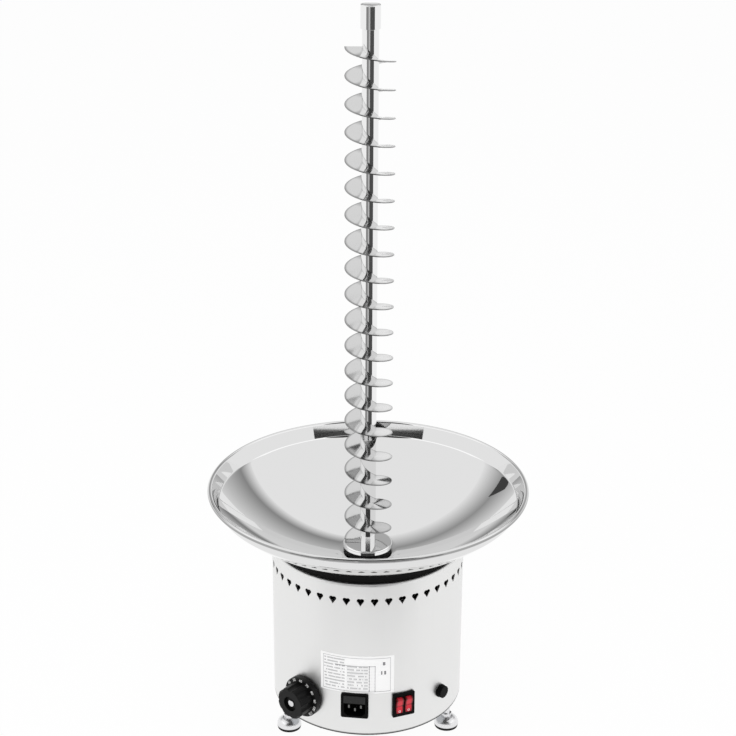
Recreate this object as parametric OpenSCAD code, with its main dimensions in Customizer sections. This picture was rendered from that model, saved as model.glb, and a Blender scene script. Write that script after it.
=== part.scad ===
// Catering chocolate fountain: drum housing, heated bowl, driven auger and controls.
// Millimetres, +Z up, front towards -Y. The origin is on the table, on the auger axis.

/* [Housing] */
// Outer radius of the drum housing
housing_r = 112.5; // [108:0.5:125]
// Height of the drum housing
housing_h = 198; // [188:1:230]
// Height of the housing bottom above the table
stand_h = 31; // [28:0.5:38]
// Thickness of the housing sheet
sheet = 1.2; // [0.8:0.1:1.6]
// Outer bend radius at the housing's edges
edge_r = 2.4; // [2:0.1:4]
// Width of the flange turned in at the top
top_flange_w = 18; // [15:0.5:22]
// Width of the flange turned in at the bottom
bottom_flange_w = 13; // [12:0.5:20]
// Thickness of the base plate
base_t = 2; // [1.5:0.1:4]
// Number of screws that hold the base plate
base_screw_count = 6; // [3:1:9]

/* [Vents] */
// Number of heart vents round the housing
vent_count = 44; // [20:1:48]
// Radius of the two lobes of a heart
vent_lobe_r = 2.5; // [2:0.05:2.7]
// Offset of each lobe from the middle of a heart
vent_lobe_x = 1.75; // [1.4:0.05:1.9]
// Height of a heart from its tip to the lobes' centres
vent_tip_h = 7.1; // [5:0.1:8]
// Distance from the housing's top edge to the tips of the hearts
vent_drop = 27; // [22:0.5:40]

/* [Bowl] */
// Outer radius of the rolled rim
rim_r = 186.3; // [180:0.5:200]
// Radius of the rolled bead at the rim
bead_r = 2.75; // [2:0.05:3.5]
// Width of the lip from the crease to the rim
lip_w = 12.3; // [9:0.1:16]
// Height of the lip from the crease to the top of the bead
lip_h = 17.5; // [14:0.5:26]
// Spherical radius inside the dish
dish_r = 258.5; // [240:0.5:300]
// Radius of the flat floor of the bowl
floor_r = 32; // [31:0.5:36]
// Thickness of the bowl sheet
bowl_wall = 1.2; // [0.8:0.1:1.8]
// Depth of the bowl floor below the housing's top edge
bowl_sink = 11; // [9:0.5:12]
// Thickness of the lip where it meets the bead
lip_edge_t = 1.4; // [1:0.1:2]

/* [Bowl seat] */
// Distance of the insulating collar in from the housing's side
collar_inset = 4; // [4:0.5:8]
// Radial width of the insulating collar
collar_w = 12; // [10:0.5:13]
// Number of studs that hold the bowl
bowl_stud_count = 4; // [3:1:6]
// Radius of a bowl stud
bowl_stud_r = 2.5; // [2:0.1:3]
// Length of a bowl stud below the housing's flange
bowl_stud_tail = 12; // [8:0.5:20]
// Width across the flats of a bowl nut
bowl_nut_af = 8; // [7:0.5:9]
// Height of a bowl nut
bowl_nut_h = 4; // [3:0.5:6]

/* [Auger] */
// Height of the auger from its base to its top
auger_h = 634.6; // [500:1:700]
// Radius of the auger shaft
auger_shaft_r = 9.1; // [8.5:0.1:10]
// Outer radius of the helical flight
flight_r = 27.6; // [20:0.1:28]
// Rise of the flight in one turn
flight_pitch = 30.65; // [25:0.05:32]
// Number of turns of the flight
flight_turns = 19; // [10:1:19]
// Thickness of the flight sheet
flight_t = 1.2; // [0.8:0.1:2]
// Height of the flight's lower end above the auger base
flight_start_h = 2.2; // [1.5:0.1:6]
// Flat facets in one turn of the flight
flight_segments = 28; // [20:2:32]
// Radius of the auger's base disc
auger_base_r = 29; // [27:0.5:30]
// Thickness of the auger's base disc
auger_base_t = 5; // [5:0.1:7]
// Radius of the edge rounding on the base disc
auger_base_edge = 2; // [1:0.1:2.4]
// Radius of the collar at the top of the auger
auger_collar_r = 10.9; // [10.5:0.1:12]
// Length of the collar at the top of the auger
auger_collar_h = 25.5; // [15:0.5:40]

/* [Drive through the bowl] */
// Radius of the drive shaft
drive_r = 6; // [5.5:0.1:6.5]
// Length of the drive shaft above the bowl floor
drive_top_h = 31; // [25:0.5:40]
// Spare depth above the drive shaft in the auger's socket
socket_spare = 3; // [1:0.5:8]
// Radius of the drive pin
pin_r = 2; // [1.5:0.1:2.2]
// Length of the drive pin
pin_l = 26; // [20:0.5:30]
// Outer radius of the hub bush
hub_r = 13; // [11:0.5:14]
// Radius of the hub's flange
hub_flange_r = 20; // [17:0.5:22]
// Thickness of the hub's flange
hub_flange_t = 1.8; // [1.2:0.1:2.2]
// Length of the hub below the bowl floor
hub_tail = 14; // [12:0.5:18]
// Width across the flats of the hub nut
hub_nut_af = 34; // [30:0.5:38]
// Height of the hub nut
hub_nut_h = 8; // [6:0.5:10]
// Outer radius of the seal ring on the bowl floor
seal_r = 27.5; // [26.5:0.5:30]
// Thickness of the seal ring
seal_t = 3; // [2.5:0.1:3.2]

/* [Heater and thermostat] */
// Radius of the heating element's ring
heater_ring_r = 72; // [66:0.5:80]
// Radius of the heating element's tube
heater_tube_r = 4; // [3:0.1:4.5]
// Angle of the gap between the element's two ends
heater_gap = 64; // [50:1:90]
// Length of the element's cold legs
heater_leg_h = 22; // [12:1:30]
// Radius of the heating element's cold legs
heater_leg_r = 3; // [2:0.1:3.5]
// Radius of the sensing bulb
bulb_r = 3; // [2:0.1:3.5]
// Length of the sensing bulb
bulb_l = 36; // [20:1:40]
// Distance of the bulb's middle inwards from the thermostat
bulb_inset = 36; // [32:0.5:40]
// Radius of the capillary tube
capillary_r = 0.9; // [0.6:0.1:1.4]
// Bend radius of the capillary tube
capillary_bend = 8; // [5:0.5:10]
// Straight stretch of capillary between the bulb and its bend
capillary_lead = 4; // [2:0.5:8]
// Radius of the sleeve that protects the capillary's bend
sleeve_r = 1.4; // [1.2:0.1:2]

/* [Controls] */
// Height of the controls' centres above the housing bottom
controls_h = 39; // [34:0.5:50]
// Height of the mains inlet's centre above the other controls
inlet_lift = 2; // [0:0.5:4]
// Depth of the fuse holder's centre below the other controls
fuse_drop = 2; // [0:0.5:4]
// Azimuth of the thermostat from the front, positive to the right
knob_az = -39.8; // [-44:0.1:-38]
// Azimuth of the mains inlet
inlet_az = -7.2; // [-9:0.1:-4]
// Azimuth of the rocker switch
switch_az = 21.8; // [18:0.1:24]
// Azimuth of the fuse holder
fuse_az = 49.6; // [46:0.1:53]

/* [Thermostat knob] */
// Radius of the numbered skirt
dial_r = 24.6; // [22:0.1:28]
// Thickness of the numbered skirt
dial_t = 7; // [5:0.1:8]
// Chamfer at the front edge of the skirt
dial_chamfer = 0.8; // [0.5:0.1:2]
// Gap between the housing and the back of the skirt
dial_stand = 1; // [0.8:0.1:2]
// Radius of the fluted grip
grip_r = 19.2; // [16:0.1:20]
// Length of the fluted grip
grip_h = 19; // [15:0.5:26]
// Number of flutes in the grip
flute_count = 8; // [6:1:12]
// Radius of a flute
flute_r = 5.6; // [3:0.1:7]
// Depth of a flute
flute_depth = 2.4; // [1:0.1:3]
// Chamfer at the front edge of the grip
grip_chamfer = 1.6; // [0.5:0.1:2.5]
// Radius of the recess in the front of the grip
recess_r = 9; // [6:0.1:10]
// Depth of the recess in the front of the grip
recess_d = 4; // [2:0.1:6]
// Radius of the thermostat spindle
spindle_r = 4; // [2.5:0.1:4.2]
// Depth of the flat on the spindle
spindle_flat = 0.8; // [0.4:0.1:1]
// Width, depth and height of the thermostat's body
thermostat_size = [34, 28, 40]; // [20:1:50]
// Distance of each thermostat screw from the spindle
thermostat_screw_x = 14; // [12:0.5:15]
// Radius of a thermostat screw
thermostat_screw_r = 1.9; // [1.4:0.1:2]
// Radius of a thermostat screw's head
thermostat_head_r = 3.4; // [3:0.1:3.8]
// Thickness of a thermostat screw's head
thermostat_head_t = 1; // [0.6:0.1:1.1]

/* [Mains inlet] */
// Width of the inlet's flange
inlet_w = 32; // [28.5:0.5:34]
// Height of the inlet's flange
inlet_h = 31.5; // [30:0.5:36]
// Thickness of the inlet's flange
inlet_flange_t = 2.4; // [2:0.1:4]
// Corner radius of the inlet's flange
inlet_corner_r = 2.2; // [1:0.1:4]
// Width of the inlet's body behind the panel
inlet_body_w = 27; // [26.5:0.5:28]
// Height of the inlet's body behind the panel
inlet_body_h = 28.5; // [28:0.1:29.5]
// Depth of the inlet's body behind the panel
inlet_body_d = 24; // [22:0.5:30]
// Width of the socket recess
socket_w = 24.6; // [23:0.1:25]
// Height of the socket recess
socket_h = 16; // [15:0.1:16.4]
// Depth of the socket recess
socket_d = 16; // [12:0.5:18]
// Chamfer at the socket's lower corners
socket_chamfer = 4; // [2:0.1:5]
// Distance of the socket's middle below the inlet's middle
socket_drop = 5.2; // [5:0.1:5.4]
// Width of a pin blade
blade_w = 2; // [1.5:0.1:2.4]
// Height of a pin blade
blade_h = 4; // [3:0.1:4.4]
// Distance of the live and neutral pins from the middle
blade_x = 7; // [6:0.1:8]
// Height of the live and neutral pins above the earth pin
blade_step = 4; // [3.5:0.1:5]
// Distance of the pins' tips behind the flange's face
blade_inset = 4; // [1:0.1:5]
// Length of the terminal tabs behind the inlet's body
tab_l = 8; // [5:0.5:10]
// Width of the fuse drawer's tray
drawer_w = 23.4; // [20:0.1:23.5]
// Height of the fuse drawer's tray
drawer_h = 7.6; // [6:0.1:7.8]
// Length of the fuse drawer's tray
drawer_l = 21; // [18:0.5:22]
// Height of the drawer's middle above the inlet's middle
drawer_rise = 8.9; // [8.8:0.1:9.2]
// Thickness of the drawer's front plate
drawer_front_t = 1.4; // [1:0.1:2]
// Overlap of the front plate round the tray
drawer_front_lip = 0.9; // [0.6:0.1:1]
// Radius of the trough for the spare fuse in the tray
drawer_trough_r = 2.8; // [2:0.1:3]

/* [Rocker switch] */
// Width of the switch's bezel
switch_w = 27.2; // [26:0.1:32]
// Height of the switch's bezel
switch_h = 30.5; // [29:0.5:36]
// Thickness of the switch's bezel
switch_flange_t = 2; // [1.6:0.1:4]
// Corner radius of the switch's bezel
switch_corner_r = 1.4; // [0.6:0.1:3]
// Width of the switch's body behind the panel
switch_body_w = 24.4; // [24:0.1:25]
// Height of the switch's body behind the panel
switch_body_h = 28; // [26:0.5:28.5]
// Depth of the switch's body behind the panel
switch_body_d = 26; // [20:0.5:30]
// Distance of each rocker from the middle of the switch
rocker_x = 5.6; // [5.5:0.05:5.8]
// Width of a rocker
rocker_w = 8.6; // [8:0.1:9.4]
// Radius of a rocker's round ends
rocker_end_r = 10.2; // [9.5:0.1:11]
// Height of a rocker's crease above its pivot
rocker_crease_h = 2.6; // [2:0.1:3]
// Depth of a rocker's underside below its pivot
rocker_belly = 3.5; // [2.5:0.1:4]
// Tilt of a rocker to each side of the middle
rocker_tilt = 9; // [6:0.5:10]
// Height of the rockers' pivots above the panel
rocker_pivot_h = 0.8; // [0.4:0.1:1.2]
// Depth of the rockers' wells below their pivots
rocker_well_d = 6; // [5.6:0.1:8]
// Radius of a rocker's pivot pins
rocker_pin_r = 1.2; // [0.8:0.05:1.4]
// Length of a rocker's pivot pins
rocker_pin_l = 0.6; // [0.4:0.05:0.6]

/* [Fuse holder] */
// Radius of the holder's body
fuse_body_r = 6; // [5.8:0.1:6.5]
// Depth of the holder's body behind the panel
fuse_body_d = 32; // [30:0.5:40]
// Radius of the holder's flange
fuse_flange_r = 8; // [7.5:0.05:9]
// Thickness of the holder's flange
fuse_flange_t = 1.6; // [1.2:0.1:3]
// Radius of the cap's grip
fuse_cap_r = 7.4; // [6.5:0.1:8]
// Length of the cap's grip
fuse_cap_h = 4.6; // [3.5:0.1:8]
// Number of notches round the cap
fuse_notch_count = 16; // [8:1:20]
// Radius of a notch round the cap
fuse_notch_r = 0.7; // [0.4:0.05:0.9]
// Radius of the cap's stem
fuse_stem_r = 4.9; // [4.6:0.1:5]
// Length of the cap's stem
fuse_stem_l = 9; // [7:0.5:12]
// Radius of the fuse
fuse_r = 2.5; // [2.4:0.1:2.7]
// Length of the fuse
fuse_l = 20; // [18:0.5:22]
// Length of the fuse held in the cap's stem
fuse_grip = 3.5; // [2:0.1:5]
// Width across the flats of the holder's nut
fuse_nut_af = 16; // [14.5:0.5:18]
// Height of the holder's nut
fuse_nut_h = 5; // [3:0.5:6]

/* [Gearbox and motor] */
// Distance between the drive shaft and the layshaft
gear_centres = 37.5; // [36:0.5:39]
// Teeth of the two pinions
pinion_teeth = 15; // [12:1:18]
// Teeth of the gear on the layshaft
layshaft_teeth = 60; // [54:1:66]
// Teeth of the gear on the drive shaft
output_teeth = 45; // [40:1:50]
// Face width of the gear on the layshaft
layshaft_gear_w = 9; // [7:0.5:9]
// Face width of the gear on the drive shaft
output_gear_w = 12; // [9:0.5:12]
// Extra face width of a pinion over its gear
pinion_extra = 1; // [0.5:0.1:1.2]
// Pressure angle of the gear teeth
pressure_angle = 25; // [22:1:26]
// Thinning of each tooth for backlash
tooth_thinning = 0.12; // [0.08:0.01:0.2]
// Inner radius of the case round each shaft
case_r = 34.5; // [33:0.5:38]
// Thickness of the case's wall
case_wall = 3.5; // [3:0.1:5]
// Thickness of the case's floor
case_floor = 4; // [4:0.1:6]
// Height of the space inside the case
case_h = 32; // [32:0.5:40]
// Thickness of the case's cover
cover_t = 6; // [5.5:0.1:8]
// Height of the bush boss on the cover
cover_boss_h = 18; // [16:0.5:22]
// Radius of the bush boss on the cover
cover_boss_r = 14; // [12.5:0.5:16]
// Outer radius of an output bush
bush_r = 9; // [8.5:0.1:10]
// Length of an output bush
bush_l = 10; // [8:0.5:11]
// Radius of the drive shaft's shoulder
shoulder_r = 10; // [8:0.5:12]
// Thickness of the drive shaft's shoulder
shoulder_t = 4; // [3:0.1:5]
// Radius of the layshaft
layshaft_r = 4; // [3.5:0.1:4.5]
// Depth of the layshaft's bearings in floor and cover
layshaft_seat = 3; // [2:0.1:3.2]
// Radius of a screw boss on the case
case_boss_r = 5; // [4.5:0.1:6]
// Radius of a gearbox screw
case_screw_r = 2; // [1.5:0.1:2.2]
// Length of a gearbox screw under its head
case_screw_l = 18; // [14:0.5:20]
// Radius of a gearbox screw's head
case_head_r = 3.6; // [3:0.1:4.5]
// Height of a gearbox screw's head
case_head_t = 2.8; // [2:0.1:4]
// Spare depth of a tapped hole below its screw
tap_spare = 1; // [0.5:0.1:3]
// Distance of the pillars from the middle plane
pillar_x = 47; // [46:0.5:52]
// Radius of a pillar
pillar_r = 5.5; // [5:0.1:6.5]
// Radius of a pillar's riveted spigot
spigot_r = 3; // [2:0.1:3.5]
// Radius of a mounting lug on the case
lug_r = 8; // [7:0.1:9]
// Thickness of the mounting lugs
lug_t = 6; // [4:0.1:8]
// Outer radius of the motor
motor_r = 38; // [36:0.5:40]
// Height of each motor end shield
motor_end_h = 20; // [19:0.5:21]
// Height of the stator's lamination stack
stack_h = 36; // [30:0.5:38]
// Inner radius of the stator
stator_bore_r = 18.5; // [17:0.1:20]
// Air gap between rotor and stator
air_gap = 0.5; // [0.3:0.05:0.8]
// Outer radius of the windings' end turns
winding_r = 30; // [26:0.5:31]
// Height of the windings' end turns
winding_h = 11; // [8:0.5:12]
// Radius of the motor shaft
motor_shaft_r = 4; // [3.5:0.1:4.5]
// Outer radius of a motor bearing
bearing_r = 9.5; // [8:0.1:10]
// Width of a motor bearing
bearing_w = 6; // [5:0.1:7]
// Radius of a motor bolt
motor_bolt_r = 2; // [1.5:0.1:2.2]
// Radius of the motor bolts' circle
motor_bolt_circle_r = 34; // [33.6:0.1:35]

/* [Feet] */
// Distance of the feet's centres in from the housing's side
foot_inset = 8.5; // [8.5:0.5:14]
// Azimuth of the two front feet to each side of the front
foot_az = 65; // [60:1:66]
// Turn of the ring of feet about the auger axis
foot_turn = 1.5; // [-2:0.5:2]
// Radius of a foot's cup
foot_cup_r = 14.3; // [12:0.1:16]
// Height of a foot's cup above its pad
foot_cup_h = 10.5; // [9.5:0.1:12]
// Height of the cup's straight rim
foot_rim_h = 2; // [1:0.1:2.4]
// Thickness of a foot's rubber pad
foot_pad_t = 2.6; // [2:0.1:4]
// Inset of the pad from the edge of the cup
foot_pad_inset = 0.6; // [0.2:0.1:2]
// Radius of a foot's stud
foot_stud_r = 4; // [3.5:0.1:4.4]
// Height of a stud's top above the housing bottom
foot_stud_top = 28; // [24:0.5:30]
// Width across the flats of a stud's collar
foot_hex_af = 11; // [10:0.5:13]
// Height of a stud's hexagonal collar
foot_hex_h = 4.5; // [3:0.1:5]
// Outer radius of a foot's weld nut
foot_nut_r = 6.2; // [5.5:0.1:6.2]
// Height of a foot's weld nut
foot_nut_h = 8; // [6:0.5:12]

/* [Fits] */
// Radial clearance of a turning shaft in its bearing
running_fit = 0.06; // [0.03:0.01:0.1]
// Gap between pieces that are fixed to each other
seat_gap = 0.05; // [0.02:0.01:0.1]
// Gap between faces that move past each other
slide_gap = 0.3; // [0.2:0.05:0.4]
// Gap under a face that bears the load of a moving piece
bearing_gap = 0.1; // [0.05:0.01:0.15]
// Clearance of a screw in its hole
screw_gap = 0.3; // [0.2:0.05:0.5]
// Clearance of a body in its panel cut-out
panel_gap = 0.3; // [0.2:0.05:0.4]

/* [Hidden] */
$fn = 96;

// Overshoot of a cut beyond the faces it opens
cut = 1;

// Finer facets for the large circles of the dish
dish_facets = 720;

// Heights of the housing and of the bowl
housing_top = stand_h + housing_h;
inner_r = housing_r - sheet;
base_top = stand_h + sheet + base_t;
floor_z = housing_top - bowl_sink;
dish_z = floor_z + sqrt(dish_r * dish_r - floor_r * floor_r);
dish_out_r = dish_r + bowl_wall;
crease_r = rim_r - lip_w;
crease_z = dish_z - sqrt(dish_r * dish_r - crease_r * crease_r);
rim_z = crease_z + lip_h;
collar_r = housing_r - collar_inset;
bowl_stud_circle_r = collar_r - collar_w / 2;

// Height of the bowl's underside at a distance from the axis
function underside_z(r) = dish_z - sqrt(dish_out_r * dish_out_r - r * r);

// Heights of the auger and of the drive through the bowl floor
auger_base_z = floor_z + seal_t + bearing_gap + slide_gap;
auger_base_top = auger_base_z + auger_base_t;
auger_top = auger_base_z + auger_h;
flight_bottom_z = auger_base_top + flight_start_h;
drive_top = floor_z + drive_top_h;
socket_top = drive_top + socket_spare;
slot_top = auger_base_top - bearing_gap;
pin_z = slot_top - bearing_gap - pin_r;
hub_bottom = floor_z - hub_tail;
shoulder_top = hub_bottom - shoulder_t / 2;
boss_top = shoulder_top - shoulder_t - bearing_gap;

// Heights of the gearbox, from the bush boss down
cover_top = boss_top - cover_boss_h;
cover_bottom = cover_top - cover_t;
case_bottom = cover_bottom - case_h - case_floor;
gear_head = 5;
output_gear_top = cover_bottom - gear_head;
output_gear_bottom = output_gear_top - output_gear_w;
stage_gap = 3.5;
layshaft_gear_top = output_gear_bottom - stage_gap;
layshaft_gear_bottom = layshaft_gear_top - layshaft_gear_w;
drive_bottom = output_gear_bottom - pinion_extra;

// Heights of the motor, which hangs below the gearbox
motor_top = case_bottom;
stack_top = motor_top - motor_end_h;
stack_bottom = stack_top - stack_h;
motor_bottom = stack_bottom - motor_end_h;
motor_end_wall = 4;

// Gear modules that give both stages the same distance between shafts
input_module = 2 * gear_centres / (pinion_teeth + layshaft_teeth);
output_module = 2 * gear_centres / (pinion_teeth + output_teeth);
addendum = 0.8;
dedendum = 1.05;
flank_steps = 2;
layshaft_side = 90;

// Controls: height of their centres and distances out from the auger axis
controls_z = stand_h + controls_h;
panel_r = housing_r + seat_gap;
dial_back_r = housing_r + dial_stand;
grip_back_r = dial_back_r + dial_t;
grip_front_r = grip_back_r + grip_h;
thermostat_face_r = sqrt(inner_r * inner_r - pow(thermostat_size.x / 2, 2)) - seat_gap;
bulb_mid_r = thermostat_face_r - thermostat_size.y / 2 - bulb_inset;
inlet_face_r = panel_r + inlet_flange_t;
inlet_back_r = inner_r - inlet_body_d;
switch_face_r = panel_r + switch_flange_t;
rocker_pivot_r = housing_r + rocker_pivot_h;
rocker_window_w = rocker_w + 2 * slide_gap;
rocker_window_h = 2 * (rocker_end_r + slide_gap);
fuse_face_r = panel_r + fuse_flange_t;
fuse_stem_back_r = fuse_face_r + bearing_gap - fuse_stem_l;
fuse_front_r = fuse_stem_back_r + fuse_grip;
fuse_back_r = fuse_front_r - fuse_l;
fuse_nut_face_r = sqrt(inner_r * inner_r - pow(fuse_nut_af / sqrt(3), 2)) - seat_gap;

// Feet: three round the housing, the third at the back
vent_tuck = 2;
foot_azimuths = [foot_turn - foot_az, foot_turn + foot_az, foot_turn + 180];
foot_circle_r = housing_r - foot_inset;
foot_cup_top = foot_pad_t + foot_cup_h;
foot_dome_r = foot_cup_h - foot_rim_h;
foot_socket_floor = 1.5;
foot_socket_z = foot_pad_t + foot_rim_h + foot_socket_floor;

// Base screws stand between the feet
base_screw_az = 30;
base_screw_inset = 6;
base_screw_circle_r = inner_r - base_screw_inset;
base_screw_r = 2;
base_screw_head_r = 3.6;
base_screw_head_t = 2;
base_screw_l = 7;

// Shared shapes

// Puts a shape that faces -Y at an azimuth of the housing, at or near the height of the controls
module at_panel(az, rise = 0) {
    rotate([0, 0, az])
        translate([0, 0, controls_z + rise])
            children();
}

// Round rod that points outwards, between two distances from the auger axis
module radial_rod(r, from, to) {
    translate([0, -from, 0])
        rotate([90, 0, 0])
            cylinder(r = r, h = to - from);
}

// Flat shape drawn as seen from outside, between two distances from the auger axis
module radial_plate(from, to) {
    translate([0, -from, 0])
        rotate([90, 0, 0])
            linear_extrude(height = to - from)
                children();
}

module rounded_rect(w, h, r) {
    square([w - 2 * r, h], center = true);
    square([w, h - 2 * r], center = true);
    for (x = [-1, 1], y = [-1, 1])
        translate([x * (w / 2 - r), y * (h / 2 - r)])
            circle(r);
}

module tube(outer_r, bore_r, from, to) {
    translate([0, 0, from])
        difference() {
            cylinder(r = outer_r, h = to - from);
            translate([0, 0, -cut])
                cylinder(r = bore_r, h = to - from + 2 * cut);
        }
}

module rod(r, from, to) {
    translate([0, 0, from])
        cylinder(r = r, h = to - from);
}

module hex_nut(af, bore_r, from, to) {
    translate([0, 0, from])
        difference() {
            cylinder(r = af / sqrt(3), h = to - from, $fn = 6);
            translate([0, 0, -cut])
                cylinder(r = bore_r, h = to - from + 2 * cut);
        }
}

// Places children on a ring of equal steps
module ring_of(count, r, first = 0) {
    for (i = [0 : count - 1])
        rotate([0, 0, first + i * 360 / count])
            translate([0, -r, 0])
                children();
}

// Involute spur gear with a tooth centred on the +X direction
function involute_deg(c) = tan(c) * 180 / PI - c;
function polar(r, a) = [r * cos(a), r * sin(a)];
function half_tooth(teeth, pitch_r, r) =
    let (base_r = pitch_r * cos(pressure_angle))
    90 / teeth - tooth_thinning / 2 / pitch_r * 180 / PI
        + involute_deg(pressure_angle) - involute_deg(acos(min(1, base_r / r)));

module gear_outline(teeth, gear_module) {
    pitch_r = teeth * gear_module / 2;
    root_r = pitch_r - dedendum * gear_module;
    tip_r = pitch_r + addendum * gear_module;
    start_r = max(root_r + 0.05 * gear_module, pitch_r * cos(pressure_angle));
    radii = concat([root_r], [for (i = [0 : flank_steps]) start_r + (tip_r - start_r) * i / flank_steps]);
    last = len(radii) - 1;
    polygon([
        for (k = [0 : teeth - 1])
            let (middle = k * 360 / teeth)
            each concat(
                [for (i = [0 : last]) polar(radii[i], middle - half_tooth(teeth, pitch_r, max(radii[i], start_r)))],
                [for (i = [last : -1 : 0]) polar(radii[i], middle + half_tooth(teeth, pitch_r, max(radii[i], start_r)))]
            )
    ]);
}

module gear(teeth, gear_module, bore_r, from, to) {
    translate([0, 0, from])
        linear_extrude(height = to - from)
            difference() {
                gear_outline(teeth, gear_module);
                circle(bore_r);
            }
}

// Outline of the gearbox: two round ends joined by straight sides
module gearbox_outline(r) {
    circle(r);
    translate([0, gear_centres])
        circle(r);
    translate([-r, 0])
        square([2 * r, gear_centres]);
}

// Points on the gearbox where the cover is screwed down
case_boss_points = [
    [0, -case_r - case_wall],
    [0, gear_centres + case_r + case_wall],
    [-case_r - case_wall, gear_centres / 2],
    [case_r + case_wall, gear_centres / 2]
];

// Points where the pillars carry the gearbox
pillar_points = [for (x = [-1, 1], y = [0, 1]) [x * pillar_x, y * gear_centres]];

module at_points(points) {
    for (p = points)
        translate([p.x, p.y, 0])
            children();
}

module at_foot(i) {
    rotate([0, 0, foot_azimuths[i - 1]])
        translate([0, -foot_circle_r, 0])
            children();
}

// Housing

// The straight sides run a little into the lobes, so that their edges cross
module heart() {
    lobe_d = norm([vent_lobe_x, vent_tip_h]);
    edge_a = atan2(vent_tip_h, vent_lobe_x) - asin(vent_lobe_r / lobe_d);
    edge_l = sqrt(lobe_d * lobe_d - vent_lobe_r * vent_lobe_r);
    side = polar(edge_l, edge_a + vent_tuck);
    polygon([[0, 0], side, [vent_lobe_x, vent_tip_h], [-vent_lobe_x, vent_tip_h], [-side.x, side.y]]);
    for (x = [-1, 1])
        translate([x * vent_lobe_x, vent_tip_h])
            circle(vent_lobe_r);
}

module housing_profile() {
    bend_x = housing_r - edge_r;
    translate([inner_r, stand_h + edge_r])
        square([sheet, housing_h - 2 * edge_r]);
    translate([housing_r - top_flange_w, housing_top - sheet])
        square([top_flange_w - edge_r, sheet]);
    translate([housing_r - bottom_flange_w, stand_h])
        square([bottom_flange_w - edge_r, sheet]);
    for (bend = [[stand_h + edge_r, stand_h], [housing_top - edge_r, housing_top - edge_r]])
        intersection() {
            translate([bend_x, bend[0]])
                difference() {
                    circle(edge_r);
                    circle(edge_r - sheet);
                }
            translate([bend_x, bend[1]])
                square(edge_r);
        }
}

module housing_shell() color("gainsboro")
    difference() {
        rotate_extrude()
            housing_profile();
        for (i = [0 : vent_count - 1])
            rotate([0, 0, (i + 0.5) * 360 / vent_count])
                translate([0, 0, housing_top - vent_drop])
                    radial_plate(inner_r - cut, housing_r + cut)
                        heart();
        at_panel(inlet_az, inlet_lift)
            radial_plate(inner_r - 4 * cut, housing_r + cut)
                square([inlet_body_w + 2 * panel_gap, inlet_body_h + 2 * panel_gap], center = true);
        at_panel(switch_az)
            radial_plate(inner_r - 4 * cut, housing_r + cut)
                square([switch_body_w + 2 * panel_gap, switch_body_h + 2 * panel_gap], center = true);
        at_panel(fuse_az, -fuse_drop)
            radial_rod(fuse_body_r + panel_gap, inner_r - 4 * cut, housing_r + cut);
        at_panel(knob_az) {
            radial_rod(spindle_r + 2 * panel_gap, inner_r - 4 * cut, housing_r + cut);
            for (x = [-1, 1])
                translate([x * thermostat_screw_x, 0, 0])
                    radial_rod(thermostat_screw_r + screw_gap, inner_r - 8 * cut, housing_r + cut);
        }
        ring_of(bowl_stud_count, bowl_stud_circle_r, 180 / bowl_stud_count)
            rod(bowl_stud_r + screw_gap, housing_top - sheet - cut, housing_top + cut);
        for (i = [1 : len(foot_azimuths)])
            at_foot(i)
                rod(foot_stud_r + screw_gap, stand_h - cut, stand_h + sheet + cut);
        ring_of(base_screw_count, base_screw_circle_r, base_screw_az)
            rod(base_screw_r + screw_gap, stand_h - cut, stand_h + sheet + cut);
    }

module base_plate() color("silver")
    difference() {
        rod(housing_r - edge_r - slide_gap, stand_h + sheet, base_top);
        for (i = [1 : len(foot_azimuths)])
            at_foot(i)
                rod(foot_stud_r + screw_gap, stand_h, base_top + cut);
        ring_of(base_screw_count, base_screw_circle_r, base_screw_az)
            rod(base_screw_r + seat_gap, stand_h, base_top + cut);
        at_points(pillar_points)
            rod(spigot_r + seat_gap, stand_h, base_top + cut);
    }

module base_screws() color("dimgray")
    ring_of(base_screw_count, base_screw_circle_r, base_screw_az) {
        rod(base_screw_r, stand_h - base_screw_head_t, stand_h - base_screw_head_t + base_screw_l);
        rod(base_screw_head_r, stand_h - base_screw_head_t, stand_h);
    }

module foot_nuts() color("silver")
    for (i = [1 : len(foot_azimuths)])
        at_foot(i)
            tube(foot_nut_r, foot_stud_r + running_fit, base_top, base_top + foot_nut_h);

// Bowl and its seat

module bowl_collar() color("black")
    difference() {
        rotate_extrude()
            difference() {
                translate([collar_r - collar_w, housing_top])
                    square([collar_w, dish_z - housing_top]);
                translate([0, dish_z])
                    circle(dish_out_r + seat_gap, $fn = dish_facets);
                translate([0, dish_z])
                    square([2 * dish_out_r, 2 * cut], center = true);
            }
        ring_of(bowl_stud_count, bowl_stud_circle_r, 180 / bowl_stud_count)
            rod(bowl_stud_r + screw_gap, housing_top - cut, dish_z);
    }

module bowl_profile() {
    half_lip = lip_edge_t / 2;
    bead_x = rim_r - bead_r;
    bead_z = rim_z - bead_r;
    translate([hub_r + seat_gap, floor_z - bowl_wall])
        square([floor_r - hub_r - seat_gap, bowl_wall]);
    intersection() {
        translate([0, dish_z])
            difference() {
                circle(dish_out_r, $fn = dish_facets);
                circle(dish_r, $fn = dish_facets);
            }
        translate([floor_r, floor_z - 2 * bowl_wall])
            square([crease_r - floor_r, dish_z - floor_z]);
    }
    polygon([
        [crease_r, underside_z(crease_r)],
        [bead_x + half_lip, bead_z],
        [bead_x - half_lip, bead_z],
        [crease_r, crease_z]
    ]);
    translate([bead_x, bead_z])
        circle(bead_r);
}

module bowl() color("lightgray")
    rotate_extrude()
        bowl_profile();

module bowl_studs() color("silver")
    ring_of(bowl_stud_count, bowl_stud_circle_r, 180 / bowl_stud_count)
        rod(bowl_stud_r, housing_top - sheet - bowl_stud_tail,
            underside_z(bowl_stud_circle_r - bowl_stud_r) - seat_gap);

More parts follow.
